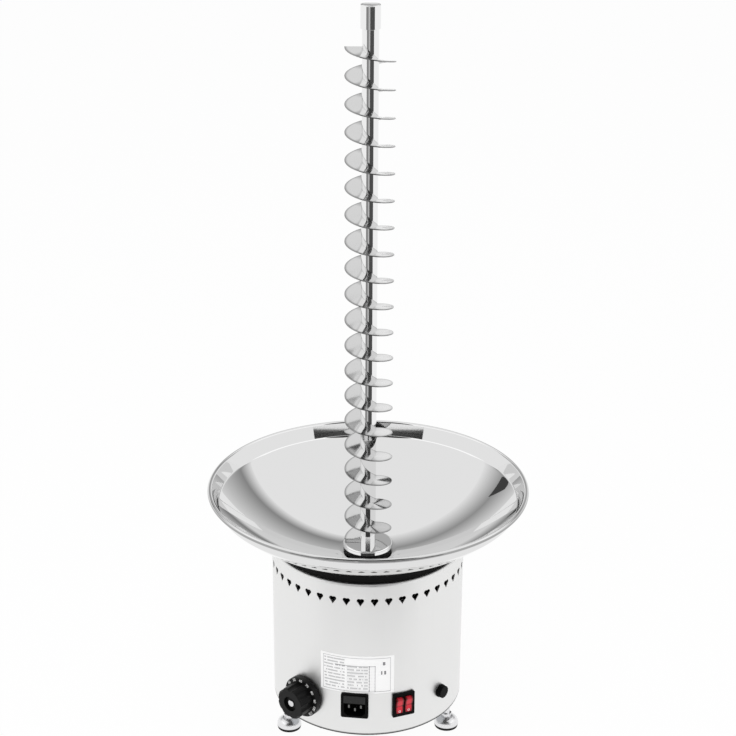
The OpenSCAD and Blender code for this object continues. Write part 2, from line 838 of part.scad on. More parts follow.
module bowl_nuts() color("silver")
    ring_of(bowl_stud_count, bowl_stud_circle_r, 180 / bowl_stud_count)
        hex_nut(bowl_nut_af, bowl_stud_r + seat_gap, housing_top - sheet - bowl_nut_h, housing_top - sheet);

module bowl_hub() color("darkgoldenrod") {
    tube(hub_r, drive_r + running_fit, hub_bottom, floor_z + hub_flange_t);
    tube(hub_flange_r, drive_r + running_fit, floor_z, floor_z + hub_flange_t);
}

module hub_nut() color("silver")
    hex_nut(hub_nut_af, hub_r + seat_gap, floor_z - bowl_wall - hub_nut_h, floor_z - bowl_wall);

module shaft_seal() color("black")
    tube(seal_r, hub_flange_r + seat_gap, floor_z, floor_z + seal_t);

// Heater and thermostat

module heater_ring() color("darkgray") {
    tilt = asin(heater_ring_r / dish_out_r);
    reach = dish_out_r + heater_tube_r + seat_gap;
    ring_r = reach * sin(tilt);
    ring_z = dish_z - reach * cos(tilt);
    rotate([0, 0, knob_az - 90 + heater_gap / 2])
        translate([0, 0, ring_z])
            rotate_extrude(angle = 360 - heater_gap)
                translate([ring_r, 0])
                    circle(heater_tube_r);
    for (side = [-1, 1])
        rotate([0, 0, knob_az + side * heater_gap / 2])
            translate([0, -ring_r, 0])
                rod(heater_leg_r, ring_z - heater_leg_h, ring_z);
}

module thermostat_body() color("dimgray")
    at_panel(knob_az)
        difference() {
            radial_plate(thermostat_face_r - thermostat_size.y, thermostat_face_r)
                square([thermostat_size.x, thermostat_size.z], center = true);
            radial_rod(spindle_r + running_fit, thermostat_face_r - thermostat_size.y / 2, housing_r);
            for (x = [-1, 1])
                translate([x * thermostat_screw_x, 0, 0])
                    radial_rod(thermostat_screw_r + seat_gap, thermostat_face_r - thermostat_size.y / 2, housing_r);
        }

// Bulb against the bowl, then a sleeved bend of capillary down to the thermostat
module thermostat_bulb() color("peru") {
    slope = asin(bulb_mid_r / dish_out_r);
    reach = dish_out_r + bulb_r + seat_gap;
    lead_end = bulb_l / 2 + capillary_lead;
    overlap = cut / 2;
    rotate([0, 0, knob_az - 90])
        translate([reach * sin(slope), 0, dish_z - reach * cos(slope)])
            rotate([0, -slope, 0]) {
                rotate([0, 90, 0]) {
                    rod(bulb_r, -bulb_l / 2, bulb_l / 2);
                    rod(capillary_r, bulb_l / 2 - overlap, lead_end + overlap);
                }
                translate([lead_end, 0, -capillary_bend])
                    rotate([90, 0, 0])
                        rotate([0, 0, -slope])
                            rotate_extrude(angle = 90 + slope)
                                translate([capillary_bend, 0])
                                    circle(sleeve_r);
            }
    bend_r = reach * sin(slope) + lead_end * cos(slope) + capillary_bend * sin(slope);
    bend_z = dish_z - reach * cos(slope) + lead_end * sin(slope) - capillary_bend * cos(slope);
    rotate([0, 0, knob_az])
        translate([0, -bend_r - capillary_bend, 0])
            rod(capillary_r, controls_z + thermostat_size.z / 2, bend_z + overlap);
}

module thermostat_screws() color("silver")
    at_panel(knob_az)
        for (x = [-1, 1])
            translate([x * thermostat_screw_x, 0, 0]) {
                head_x = thermostat_screw_x - thermostat_head_r;
                head_r = sqrt(housing_r * housing_r - head_x * head_x) + seat_gap;
                radial_rod(thermostat_screw_r, thermostat_face_r - thermostat_size.y / 3, head_r);
                radial_rod(thermostat_head_r, head_r, head_r + thermostat_head_t);
            }

module thermostat_spindle() color("silver")
    at_panel(knob_az)
        difference() {
            radial_rod(spindle_r, thermostat_face_r - thermostat_size.y / 2 + slide_gap, grip_front_r - recess_d / 2);
            translate([-spindle_r, -grip_front_r - cut, spindle_r - spindle_flat])
                cube([2 * spindle_r, grip_h + cut, spindle_r]);
        }

module spindle_hole(from, to) {
    difference() {
        radial_rod(spindle_r + seat_gap, from, to);
        translate([-spindle_r - cut, -to - cut, spindle_r - spindle_flat + seat_gap])
            cube([2 * spindle_r + 2 * cut, to - from + 2 * cut, spindle_r]);
    }
}

module thermostat_knob() color("black")
    at_panel(knob_az)
        difference() {
            union() {
                radial_rod(grip_r, grip_back_r, grip_front_r - grip_chamfer);
                translate([0, -grip_front_r + grip_chamfer, 0])
                    rotate([90, 0, 0])
                        cylinder(r1 = grip_r, r2 = grip_r - grip_chamfer, h = grip_chamfer);
            }
            for (i = [0 : flute_count - 1])
                rotate([0, i * 360 / flute_count, 0])
                    translate([0, 0, grip_r + flute_r - flute_depth])
                        radial_rod(flute_r, grip_back_r - cut, grip_front_r + cut);
            radial_rod(recess_r, grip_front_r - recess_d, grip_front_r + cut);
            spindle_hole(grip_back_r - cut, grip_front_r);
        }

module knob_dial() color("black")
    at_panel(knob_az)
        difference() {
            union() {
                radial_rod(dial_r, dial_back_r, grip_back_r - dial_chamfer);
                translate([0, -grip_back_r + dial_chamfer, 0])
                    rotate([90, 0, 0])
                        cylinder(r1 = dial_r, r2 = dial_r - dial_chamfer, h = dial_chamfer);
            }
            radial_rod(spindle_r + seat_gap, dial_back_r - cut, grip_back_r + cut);
        }

// Gearbox

module gearbox_case() color("slategray")
    difference() {
        union() {
            translate([0, 0, case_bottom])
                linear_extrude(height = case_floor + case_h)
                    gearbox_outline(case_r + case_wall);
            at_points(case_boss_points)
                rod(case_boss_r, case_bottom, cover_bottom);
            for (p = pillar_points)
                translate([0, p.y, case_bottom])
                    linear_extrude(height = lug_t)
                        union() {
                            translate([p.x, 0])
                                circle(lug_r);
                            translate([min(0, p.x), -lug_r])
                                square([abs(p.x), 2 * lug_r]);
                        }
        }
        translate([0, 0, case_bottom + case_floor])
            linear_extrude(height = case_h + cut)
                gearbox_outline(case_r);
        rod(bearing_r, case_bottom - cut, case_bottom + case_floor + cut);
        rotate([0, 0, layshaft_side])
            translate([gear_centres, 0, 0])
                rod(layshaft_r + running_fit, case_bottom + case_floor - layshaft_seat, cover_bottom);
        at_points(case_boss_points)
            rod(case_screw_r + seat_gap, cover_top - case_screw_l - tap_spare, cover_bottom + cut);
        at_points(pillar_points)
            rod(case_screw_r + screw_gap, case_bottom - cut, case_bottom + lug_t + cut);
        ring_of(4, motor_bolt_circle_r, 45)
            rod(motor_bolt_r + seat_gap, case_bottom - cut, case_bottom + case_floor - 0.5 * cut);
    }

module gearbox_cover() color("slategray")
    difference() {
        union() {
            translate([0, 0, cover_bottom])
                linear_extrude(height = cover_t)
                    gearbox_outline(case_r + case_wall);
            at_points(case_boss_points)
                rod(case_boss_r, cover_bottom, cover_top);
            rod(cover_boss_r, cover_bottom, boss_top);
        }
        rod(bush_r + seat_gap, cover_bottom - cut, boss_top + cut);
        rotate([0, 0, layshaft_side])
            translate([gear_centres, 0, 0])
                rod(layshaft_r + running_fit, cover_bottom - cut, cover_bottom + layshaft_seat);
        at_points(case_boss_points)
            rod(case_screw_r + screw_gap, cover_bottom - cut, cover_top + cut);
    }

// One gearbox screw, with its head seated at a height
module gearbox_screw(seat_z) {
    rod(case_screw_r, seat_z - case_screw_l, seat_z);
    rod(case_head_r, seat_z, seat_z + case_head_t);
}

// Four of the same screws hold the cover, four hold the lugs to the pillars
module gearbox_screws() color("dimgray") {
    at_points(case_boss_points)
        gearbox_screw(cover_top);
    at_points(pillar_points)
        gearbox_screw(case_bottom + lug_t);
}

module gearbox_pillars() color("silver")
    at_points(pillar_points)
        difference() {
            union() {
                rod(pillar_r, base_top, case_bottom);
                rod(spigot_r, stand_h + sheet, base_top);
            }
            rod(case_screw_r + seat_gap, case_bottom + lug_t - case_screw_l - tap_spare, case_bottom + cut);
        }

module output_bushes() color("darkgoldenrod") {
    tube(bush_r, drive_r + running_fit, cover_bottom, cover_bottom + bush_l);
    tube(bush_r, drive_r + running_fit, boss_top - bush_l, boss_top);
}

module output_gear() color("goldenrod")
    rotate([0, 0, layshaft_side])
        gear(output_teeth, output_module, drive_r + seat_gap, output_gear_bottom, output_gear_top);

module drive_shaft() color("silver")
    difference() {
        union() {
            rod(drive_r, drive_bottom, drive_top);
            rod(shoulder_r, shoulder_top - shoulder_t, shoulder_top);
        }
        translate([-drive_r - cut, 0, pin_z])
            rotate([0, 90, 0])
                cylinder(r = pin_r + seat_gap, h = 2 * drive_r + 2 * cut);
    }

module drive_pin() color("dimgray")
    translate([-pin_l / 2, 0, pin_z])
        rotate([0, 90, 0])
            cylinder(r = pin_r, h = pin_l);

module at_layshaft() {
    rotate([0, 0, layshaft_side])
        translate([gear_centres, 0, 0])
            children();
}

module layshaft_gear() color("goldenrod")
    at_layshaft()
        rotate([0, 0, 180 + 180 / layshaft_teeth])
            gear(layshaft_teeth, input_module, layshaft_r + seat_gap, layshaft_gear_bottom, layshaft_gear_top);

module layshaft_pinion() color("silver")
    at_layshaft() {
        rod(layshaft_r, case_bottom + case_floor - layshaft_seat + bearing_gap,
            cover_bottom + layshaft_seat - bearing_gap);
        rotate([0, 0, 180 + 180 / pinion_teeth])
            gear(pinion_teeth, output_module, layshaft_r / 2, output_gear_bottom - pinion_extra,
                output_gear_top + pinion_extra);
    }

// Motor

module motor_stator() color("gray")
    difference() {
        tube(motor_r, stator_bore_r, stack_bottom, stack_top);
        ring_of(4, motor_bolt_circle_r, 45)
            rod(motor_bolt_r + seat_gap, stack_bottom - cut, stack_top + cut);
    }

module motor_windings() color("peru") {
    tube(winding_r, stator_bore_r + air_gap, stack_top, stack_top + winding_h);
    tube(winding_r, stator_bore_r + air_gap, stack_bottom - winding_h, stack_bottom);
}

// Cup-shaped end shield, drawn with its closed side up and its rim at z = 0
module end_shield() {
    difference() {
        rod(motor_r, 0, motor_end_h);
        rod(winding_r + 2 * slide_gap, -cut, motor_end_h - bearing_w - motor_end_wall / 2);
        rod(bearing_r + seat_gap, 0, motor_end_h - motor_end_wall / 2);
        rod(motor_shaft_r + 2 * slide_gap, 0, motor_end_h + cut);
        ring_of(4, motor_bolt_circle_r, 45)
            rod(motor_bolt_r + seat_gap, -cut, motor_end_h + cut);
    }
}

module motor_end_upper() color("silver")
    translate([0, 0, stack_top])
        end_shield();

module motor_end_lower() color("silver")
    translate([0, 0, stack_bottom])
        mirror([0, 0, 1])
            end_shield();

module motor_rotor() color("darkgray")
    tube(stator_bore_r - air_gap, motor_shaft_r + seat_gap, stack_bottom, stack_top);

module motor_shaft() color("silver")
    rod(motor_shaft_r, motor_bottom + motor_end_wall / 2, layshaft_gear_top);

module motor_pinion() color("goldenrod")
    rotate([0, 0, layshaft_side])
        gear(pinion_teeth, input_module, motor_shaft_r + seat_gap,
            layshaft_gear_bottom - pinion_extra / 2, layshaft_gear_top + pinion_extra / 2);

module motor_bearings() color("silver") {
    tube(bearing_r, motor_shaft_r + running_fit, motor_top - motor_end_wall / 2 - bearing_w,
        motor_top - motor_end_wall / 2);
    tube(bearing_r, motor_shaft_r + running_fit, motor_bottom + motor_end_wall / 2,
        motor_bottom + motor_end_wall / 2 + bearing_w);
}

module motor_bolts() color("dimgray")
    ring_of(4, motor_bolt_circle_r, 45) {
        rod(motor_bolt_r, motor_bottom, case_bottom + case_floor / 2);
        rod(case_head_r, motor_bottom - case_head_t, motor_bottom);
    }

// Auger

module auger_base() color("lightgray")
    difference() {
        rotate_extrude() {
            translate([0, auger_base_z])
                square([auger_base_r, auger_base_t - auger_base_edge]);
            translate([0, auger_base_z])
                square([auger_base_r - auger_base_edge, auger_base_t]);
            translate([auger_base_r - auger_base_edge, auger_base_top - auger_base_edge])
                intersection() {
                    circle(auger_base_edge);
                    square(auger_base_edge);
                }
        }
        rod(drive_r + 2 * running_fit, auger_base_z - cut, auger_base_top + cut);
        translate([-pin_l / 2 - slide_gap, -pin_r - slide_gap, auger_base_z - cut])
            cube([pin_l + 2 * slide_gap, 2 * (pin_r + slide_gap), slot_top - auger_base_z + cut]);
    }

module auger_shaft() color("lightgray")
    difference() {
        rod(auger_shaft_r, auger_base_top, auger_top);
        rod(drive_r + 2 * running_fit, auger_base_top - cut, socket_top);
    }

// Left-handed helical flight, from its top end on the left down to the base disc
module auger_flight() color("lightgray") {
    steps = flight_turns * flight_segments;
    inner = auger_shaft_r / cos(180 / flight_segments) + seat_gap;
    top_z = flight_bottom_z + flight_turns * flight_pitch;
    section = [[inner, -flight_t / 2], [flight_r, -flight_t / 2], [flight_r, flight_t / 2], [inner, flight_t / 2]];
    points = [
        for (i = [0 : steps], c = section)
            let (a = 180 + i * 360 / flight_segments, z = top_z - i * flight_pitch / flight_segments)
            [c.x * cos(a), c.x * sin(a), z + c.y]
    ];
    sides = [
        for (i = [0 : steps - 1], j = [0 : 3])
            let (a = 4 * i + j, b = 4 * i + (j + 1) % 4)
            each [[a, b, b + 4], [a, b + 4, a + 4]]
    ];
    last = 4 * steps;
    ends = [[0, 3, 2], [0, 2, 1], [last, last + 1, last + 2], [last, last + 2, last + 3]];
    polyhedron(points, concat(sides, ends));
}

module auger_collar() color("lightgray")
    tube(auger_collar_r, auger_shaft_r + seat_gap, auger_top - auger_collar_h, auger_top);

// Mains inlet

module socket_outline() {
    difference() {
        square([socket_w, socket_h], center = true);
        for (x = [-1, 1])
            translate([x * socket_w / 2, -socket_h / 2])
                rotate([0, 0, 45])
                    square(socket_chamfer * sqrt(2), center = true);
    }
}

// The two live blades above and the earth blade below
blade_points = [
    [-blade_x, blade_step / 2 - socket_drop],
    [blade_x, blade_step / 2 - socket_drop],
    [0, -blade_step / 2 - socket_drop]
];

module inlet_body() color("black")
    at_panel(inlet_az, inlet_lift)
        difference() {
            union() {
                radial_plate(panel_r, inlet_face_r)
                    rounded_rect(inlet_w, inlet_h, inlet_corner_r);
                radial_plate(inlet_back_r, panel_r + cut)
                    square([inlet_body_w, inlet_body_h], center = true);
            }
            translate([0, 0, -socket_drop])
                radial_plate(inlet_face_r - socket_d, inlet_face_r + cut)
                    socket_outline();
            translate([0, 0, drawer_rise])
                radial_plate(inlet_face_r - drawer_l - slide_gap, inlet_face_r + cut)
                    square([drawer_w + 2 * slide_gap, drawer_h + 2 * slide_gap], center = true);
            for (p = blade_points)
                translate([p.x, 0, p.y])
                    radial_plate(inlet_back_r - cut, inlet_face_r)
                        square([blade_w + 2 * seat_gap, blade_h + 2 * seat_gap], center = true);
        }

module inlet_pins() color("silver")
    at_panel(inlet_az, inlet_lift)
        for (p = blade_points)
            translate([p.x, 0, p.y])
                radial_plate(inlet_back_r - tab_l, inlet_face_r - blade_inset)
                    square([blade_w, blade_h], center = true);

module fuse_drawer() color("dimgray")
    at_panel(inlet_az, inlet_lift)
        translate([0, 0, drawer_rise])
            difference() {
                union() {
                    radial_plate(inlet_face_r - drawer_l, inlet_face_r + bearing_gap + drawer_front_t)
                        square([drawer_w, drawer_h], center = true);
                    radial_plate(inlet_face_r + bearing_gap, inlet_face_r + bearing_gap + drawer_front_t)
                        square([drawer_w + 2 * drawer_front_lip, drawer_h + 2 * drawer_front_lip], center = true);
                }
                translate([-drawer_w / 2 + cut, -inlet_face_r + drawer_l / 2, drawer_h / 2])
                    rotate([0, 90, 0])
                        cylinder(r = drawer_trough_r, h = drawer_w - 2 * cut);
            }

// Rocker switch

module switch_body() color("black")
    at_panel(switch_az)
        difference() {
            union() {
                radial_plate(panel_r, switch_face_r)
                    rounded_rect(switch_w, switch_h, switch_corner_r);
                radial_plate(inner_r - switch_body_d, panel_r + cut)
                    square([switch_body_w, switch_body_h], center = true);
            }
            for (x = [-1, 1])
                translate([x * rocker_x, 0, 0]) {
                    radial_plate(rocker_pivot_r - rocker_well_d, switch_face_r + cut)
                        square([rocker_window_w, rocker_window_h], center = true);
                    rocker_pivot(rocker_pin_r + running_fit, rocker_w + 2 * rocker_pin_l + slide_gap);
                }
        }

module rocker_pivot(r, l) {
    translate([-l / 2, -rocker_pivot_r, 0])
        rotate([0, 90, 0])
            cylinder(r = r, h = l);
}

// Outline of a rocker across its pivot: two sloping faces between round ends
module rocker_outline() {
    end_h = rocker_crease_h + rocker_end_r * tan(rocker_tilt);
    intersection() {
        circle(rocker_end_r);
        polygon([
            [-rocker_end_r, -rocker_belly], [rocker_end_r, -rocker_belly],
            [rocker_end_r, end_h], [0, rocker_crease_h], [-rocker_end_r, end_h]
        ]);
    }
}

module rocker(side) {
    at_panel(switch_az)
        translate([side * rocker_x, 0, 0]) {
            translate([-rocker_w / 2, -rocker_pivot_r, 0])
                rotate([rocker_tilt, 0, 0])
                    rotate([90, 0, 90])
                        linear_extrude(height = rocker_w)
                            rotate([0, 0, 90])
                                rocker_outline();
            rocker_pivot(rocker_pin_r, rocker_w + 2 * rocker_pin_l);
        }
}

module rocker_left() color("red")
    rocker(-1);

module rocker_right() color("red")
    rocker(1);

// Fuse holder

module fuse_holder() color("black")
    at_panel(fuse_az, -fuse_drop)
        difference() {
            union() {
                radial_rod(fuse_body_r, inner_r - fuse_body_d, panel_r + cut);
                radial_rod(fuse_flange_r, panel_r, fuse_face_r);
            }
            radial_rod(fuse_r + slide_gap, fuse_back_r - slide_gap, fuse_face_r + cut);
            radial_rod(fuse_stem_r + slide_gap, fuse_stem_back_r - slide_gap, fuse_face_r + cut);
        }

module fuse_nut() color("dimgray")
    at_panel(fuse_az, -fuse_drop)
        translate([0, -fuse_nut_face_r, 0])
            rotate([-90, 0, 0])
                hex_nut(fuse_nut_af, fuse_body_r + seat_gap, 0, fuse_nut_h);

module fuse_link() color("lightblue")
    at_panel(fuse_az, -fuse_drop)
        radial_rod(fuse_r, fuse_back_r, fuse_front_r);

module fuse_cap() color("black")
    at_panel(fuse_az, -fuse_drop)
        difference() {
            union() {
                radial_rod(fuse_stem_r, fuse_stem_back_r, fuse_face_r + 2 * bearing_gap);
                radial_rod(fuse_cap_r, fuse_face_r + bearing_gap, fuse_face_r + bearing_gap + fuse_cap_h);
            }
            radial_rod(fuse_r + running_fit, fuse_stem_back_r - cut, fuse_front_r + bearing_gap);
            for (i = [0 : fuse_notch_count - 1])
                rotate([0, i * 360 / fuse_notch_count, 0])
                    translate([0, 0, fuse_cap_r])
                        radial_rod(fuse_notch_r, fuse_face_r + bearing_gap + fuse_cap_h / 4,
                            fuse_face_r + fuse_cap_h + cut);
        }

// Feet

module foot_cup(i) color("lightgray")
    at_foot(i)
        difference() {
            rotate_extrude() {
                translate([0, foot_pad_t])
                    square([foot_cup_r, foot_rim_h]);
                translate([0, foot_pad_t])
                    square([foot_cup_r - foot_dome_r, foot_cup_h]);
                translate([foot_cup_r - foot_dome_r, foot_pad_t + foot_rim_h])
                    intersection() {
                        circle(foot_dome_r);
                        square(foot_dome_r);
                    }
            }
            rod(foot_stud_r + running_fit, foot_socket_z, foot_cup_top + cut);
        }

module foot_pad(i) color("black")
    at_foot(i)
        rod(foot_cup_r - foot_pad_inset, 0, foot_pad_t);

module foot_stud(i) color("silver")
    at_foot(i) {
        rod(foot_stud_r, foot_socket_z + bearing_gap, stand_h + foot_stud_top);
        translate([0, 0, foot_cup_top + bearing_gap])
            cylinder(r = foot_hex_af / sqrt(3), h = foot_hex_h, $fn = 6);
    }

housing_shell();
base_plate();
base_screws();
foot_nuts();
bowl_collar();
bowl();
bowl_studs();
bowl_nuts();
bowl_hub();
hub_nut();
shaft_seal();
heater_ring();
thermostat_body();
thermostat_bulb();
thermostat_screws();
thermostat_spindle();
thermostat_knob();
knob_dial();
gearbox_case();
gearbox_cover();
gearbox_screws();
gearbox_pillars();
output_bushes();
output_gear();
drive_shaft();
drive_pin();
layshaft_gear();
layshaft_pinion();
motor_stator();
motor_windings();
motor_end_lower();
motor_end_upper();
motor_rotor();
motor_shaft();
motor_pinion();
motor_bearings();
motor_bolts();
auger_base();
auger_shaft();
auger_flight();
auger_collar();
inlet_body();
inlet_pins();
fuse_drawer();
switch_body();
rocker_left();
rocker_right();
fuse_holder();
fuse_nut();
fuse_link();
fuse_cap();
foot_cup(1);  // foot_cup_1
foot_cup(2);  // foot_cup_2
foot_cup(3);  // foot_cup_3
foot_pad(1);  // foot_pad_1
foot_pad(2);  // foot_pad_2
foot_pad(3);  // foot_pad_3
foot_stud(1);  // foot_stud_1
foot_stud(2);  // foot_stud_2
foot_stud(3);  // foot_stud_3
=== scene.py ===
# A catering chocolate fountain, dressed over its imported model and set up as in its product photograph.
import math
import bmesh
import bpy
from mathutils import Matrix, Vector


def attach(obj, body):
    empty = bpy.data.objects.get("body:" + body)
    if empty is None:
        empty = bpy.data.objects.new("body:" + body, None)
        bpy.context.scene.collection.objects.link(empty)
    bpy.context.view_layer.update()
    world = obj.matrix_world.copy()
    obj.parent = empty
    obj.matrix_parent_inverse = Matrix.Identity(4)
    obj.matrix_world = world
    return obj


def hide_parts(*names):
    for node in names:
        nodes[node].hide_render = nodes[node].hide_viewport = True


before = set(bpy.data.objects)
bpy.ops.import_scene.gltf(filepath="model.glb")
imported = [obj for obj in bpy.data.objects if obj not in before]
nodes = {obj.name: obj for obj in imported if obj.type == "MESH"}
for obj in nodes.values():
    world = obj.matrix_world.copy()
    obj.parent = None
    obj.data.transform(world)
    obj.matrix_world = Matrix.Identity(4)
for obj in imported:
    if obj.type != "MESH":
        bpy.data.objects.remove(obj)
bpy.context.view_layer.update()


# Housing: a rolled drum of satin stainless sheet with flanges turned in at both ends.
# Its row of heart vents and the cut-outs for the controls are punched through the sheet.
class Amount:
    """A number that varies over a surface; sums written with it become Math nodes."""

    def __init__(self, finish, socket):
        self.finish = finish
        self.socket = socket

    def maths(self, operation, first, second=0):
        return self.finish.node("ShaderNodeMath", {"operation": operation}, {0: first, 1: second})

    def __add__(self, other):
        return self.maths("ADD", self, other)

    __radd__ = __add__

    def __sub__(self, other):
        return self.maths("SUBTRACT", self, other)

    def __rsub__(self, other):
        return self.maths("SUBTRACT", other, self)

    def __mul__(self, other):
        return self.maths("MULTIPLY", self, other)

    __rmul__ = __mul__

    def __gt__(self, other):
        return self.maths("GREATER_THAN", self, other)

    def __lt__(self, other):
        return self.maths("LESS_THAN", self, other)

    def __mod__(self, other):
        return self.maths("FLOORED_MODULO", self, other)

    def __abs__(self):
        return self.maths("ABSOLUTE", self)

    def between(self, low, high):
        return (self > low) * (self < high)

    def rise(self, start, end):
        sockets = {"Value": self, "From Min": start, "From Max": end}
        return self.finish.node("ShaderNodeMapRange", {"interpolation_type": "SMOOTHSTEP"}, sockets)


class Shading:
    """The nodes of one material, or of the room round the object."""

    def __init__(self, owner, surface):
        owner.use_nodes = True
        self.tree = owner.node_tree
        self.surface = self.tree.nodes[surface]

    def node(self, kind, settings=None, sockets=None, output=0):
        made = self.tree.nodes.new(kind)
        for name, value in (settings or {}).items():
            setattr(made, name, value)
        for name, value in (sockets or {}).items():
            if isinstance(value, Amount):
                self.tree.links.new(value.socket, made.inputs[name])
            else:
                made.inputs[name].default_value = value
        return Amount(self, made.outputs[output])

    def feed(self, socket, amount):
        self.tree.links.new(amount.socket, self.surface.inputs[socket])

    def seen(self):
        """One for what the camera sees, also in metal and through glass, and nought for other light."""
        rays = ("Is Camera Ray", "Is Glossy Ray", "Is Transmission Ray")
        direct, mirrored, through = [self.node("ShaderNodeLightPath", output=ray) for ray in rays]
        return direct + mirrored + through


class Finish(Shading):
    """One material. Plain values go straight to the surface's sockets, varying ones through feed."""

    def __init__(self, name, **plain):
        self.material = bpy.data.materials.new(name)
        super().__init__(self.material, "Principled BSDF")
        for socket, value in plain.items():
            self.surface.inputs[socket.replace("_", " ")].default_value = value

    def spot(self):
        return self.node("ShaderNodeTexCoord", output="Object")

    def along(self, direction):
        sockets = {0: self.spot(), 1: direction}
        return self.node("ShaderNodeVectorMath", {"operation": "DOT_PRODUCT"}, sockets, "Value")

    def from_axis(self):
        flat = {0: self.spot(), 1: (1, 1, 0)}
        flat_spot = self.node("ShaderNodeVectorMath", {"operation": "MULTIPLY"}, flat)
        return self.node("ShaderNodeVectorMath", {"operation": "LENGTH"}, {0: flat_spot}, "Value")

    def noise(self, scale, detail=3):
        stretched = self.node("ShaderNodeMapping", None, {"Vector": self.spot(), "Scale": scale})
        return self.node("ShaderNodeTexNoise", None, {"Vector": stretched, "Scale": 1, "Detail": detail})

    def tint(self, mask, first, second):
        sockets = {"Factor": mask, "A": first, "B": second}
        return self.node("ShaderNodeMix", {"data_type": "RGBA"}, sockets, "Result")

    def bump(self, height, strength, distance):
        sockets = {"Height": height, "Strength": strength, "Distance": distance}
        self.feed("Normal", self.node("ShaderNodeBump", None, sockets))

    def on(self, *names):
        for name in names:
            nodes[name].data.materials.clear()
            nodes[name].data.materials.append(self.material)


UPWARDS = (0, 0, 1)
HOUSING_FOOT_Z = 0.031
PAINTED_SHADE_BAND = 0.0042

satin = Finish("satin_stainless", Metallic=1)
rolling_grain = satin.noise((2, 2, 1100), 4)
# A thin band at the foot of the drum is painted near black: painted shade along the bottom bend, where
# the sheet curls under.
above_painted_shade = satin.along(UPWARDS).rise(HOUSING_FOOT_Z + PAINTED_SHADE_BAND / 2, HOUSING_FOOT_Z + PAINTED_SHADE_BAND)
satin.feed("Base Color", satin.tint(above_painted_shade, (0.06, 0.06, 0.06, 1), (0.82, 0.82, 0.815, 1)))
satin.feed("Roughness", 0.34 + rolling_grain * 0.12)
satin.bump(rolling_grain, 0.04, 0.0002)
satin.on("housing_shell")


# Base plate, pillars, screws and nuts: pressed and turned steel with a dull zinc plating.
# The plate is screwed up against the housing's bottom flange and carries pillars and weld nuts.
zinc = Finish("zinc_plate", Metallic=1)
spangle = zinc.noise((160, 160, 160))
zinc.feed("Base Color", zinc.tint(spangle, (0.52, 0.54, 0.56, 1), (0.68, 0.69, 0.70, 1)))
zinc.feed("Roughness", 0.30 + spangle * 0.2)
zinc.on("base_plate", "base_screws", "foot_nuts", "bowl_nuts", "hub_nut", "gearbox_pillars",
        "gearbox_screws", "thermostat_screws", "motor_bolts")


# Motor: an induction motor hanging under the gearbox, with varnished iron laminations,
# copper windings and cast end shields, clamped together by four long bolts. The thermostat's bulb
# shares the copper, and the gearbox is cast as the shields are.
iron = Finish("varnished_iron", Metallic=0.8)
lamination = iron.noise((1, 1, 2400), 2)
iron.feed("Base Color", iron.tint(lamination, (0.10, 0.10, 0.11, 1), (0.26, 0.26, 0.28, 1)))
iron.feed("Roughness", 0.42 + lamination * 0.2)
iron.on("motor_stator", "motor_rotor")

copper = Finish("enamelled_copper", Metallic=1)
strands = copper.noise((900, 900, 40), 2)
copper.feed("Base Color", copper.tint(strands, (0.42, 0.16, 0.07, 1), (0.80, 0.40, 0.22, 1)))
copper.feed("Roughness", 0.28 + strands * 0.15)
copper.on("motor_windings", "thermostat_bulb")

casting = Finish("cast_aluminium", Metallic=1)
sand = casting.noise((700, 700, 700), 5)
casting.feed("Base Color", casting.tint(sand, (0.55, 0.56, 0.57, 1), (0.66, 0.67, 0.68, 1)))
casting.feed("Roughness", 0.42 + sand * 0.2)
casting.bump(sand, 0.15, 0.0003)
casting.on("motor_end_lower", "motor_end_upper", "gearbox_case", "gearbox_cover")


# Gearbox: two stages of spur gears between the motor and the drive shaft, with brass wheels,
# ground steel shafts and pinions, and bushes of sintered bronze pressed into the cover's boss.
# The bowl's studs, the heater and the thermostat's spindle share the ground finish.
brass = Finish("gear_brass", Metallic=1)
cutting = brass.noise((40, 40, 900), 3)
brass.feed("Base Color", brass.tint(cutting, (0.62, 0.45, 0.17, 1), (0.78, 0.60, 0.28, 1)))
brass.feed("Roughness", 0.24 + cutting * 0.15)
brass.on("output_gear", "layshaft_gear")

bronze = Finish("sintered_bronze", Metallic=1)
pores = bronze.noise((1500, 1500, 1500), 4)
bronze.feed("Base Color", bronze.tint(pores, (0.36, 0.25, 0.12, 1), (0.58, 0.42, 0.22, 1)))
bronze.feed("Roughness", 0.40 + pores * 0.2)
bronze.on("bowl_hub", "output_bushes")

ground = Finish("ground_steel", Base_Color=(0.70, 0.70, 0.71, 1), Metallic=1)
grinding = ground.noise((60, 60, 1500), 2)
ground.feed("Roughness", 0.16 + grinding * 0.14)
ground.on("drive_shaft", "drive_pin", "layshaft_pinion", "motor_shaft", "motor_pinion",
          "motor_bearings", "bowl_studs", "heater_ring", "thermostat_spindle")


# Collar and thermostat block: moulded in matt black phenolic, which stands the bowl's heat.
# The collar fills the step between the housing's top flange and the underside of the dish.
phenolic = Finish("black_phenolic", Base_Color=(0.003, 0.003, 0.003, 1), Specular_IOR_Level=0.12)
mould_skin = phenolic.noise((420, 420, 420), 4)
phenolic.feed("Roughness", 0.50 + mould_skin * 0.2)
phenolic.bump(mould_skin, 0.1, 0.0002)
phenolic.on("bowl_collar", "thermostat_body")


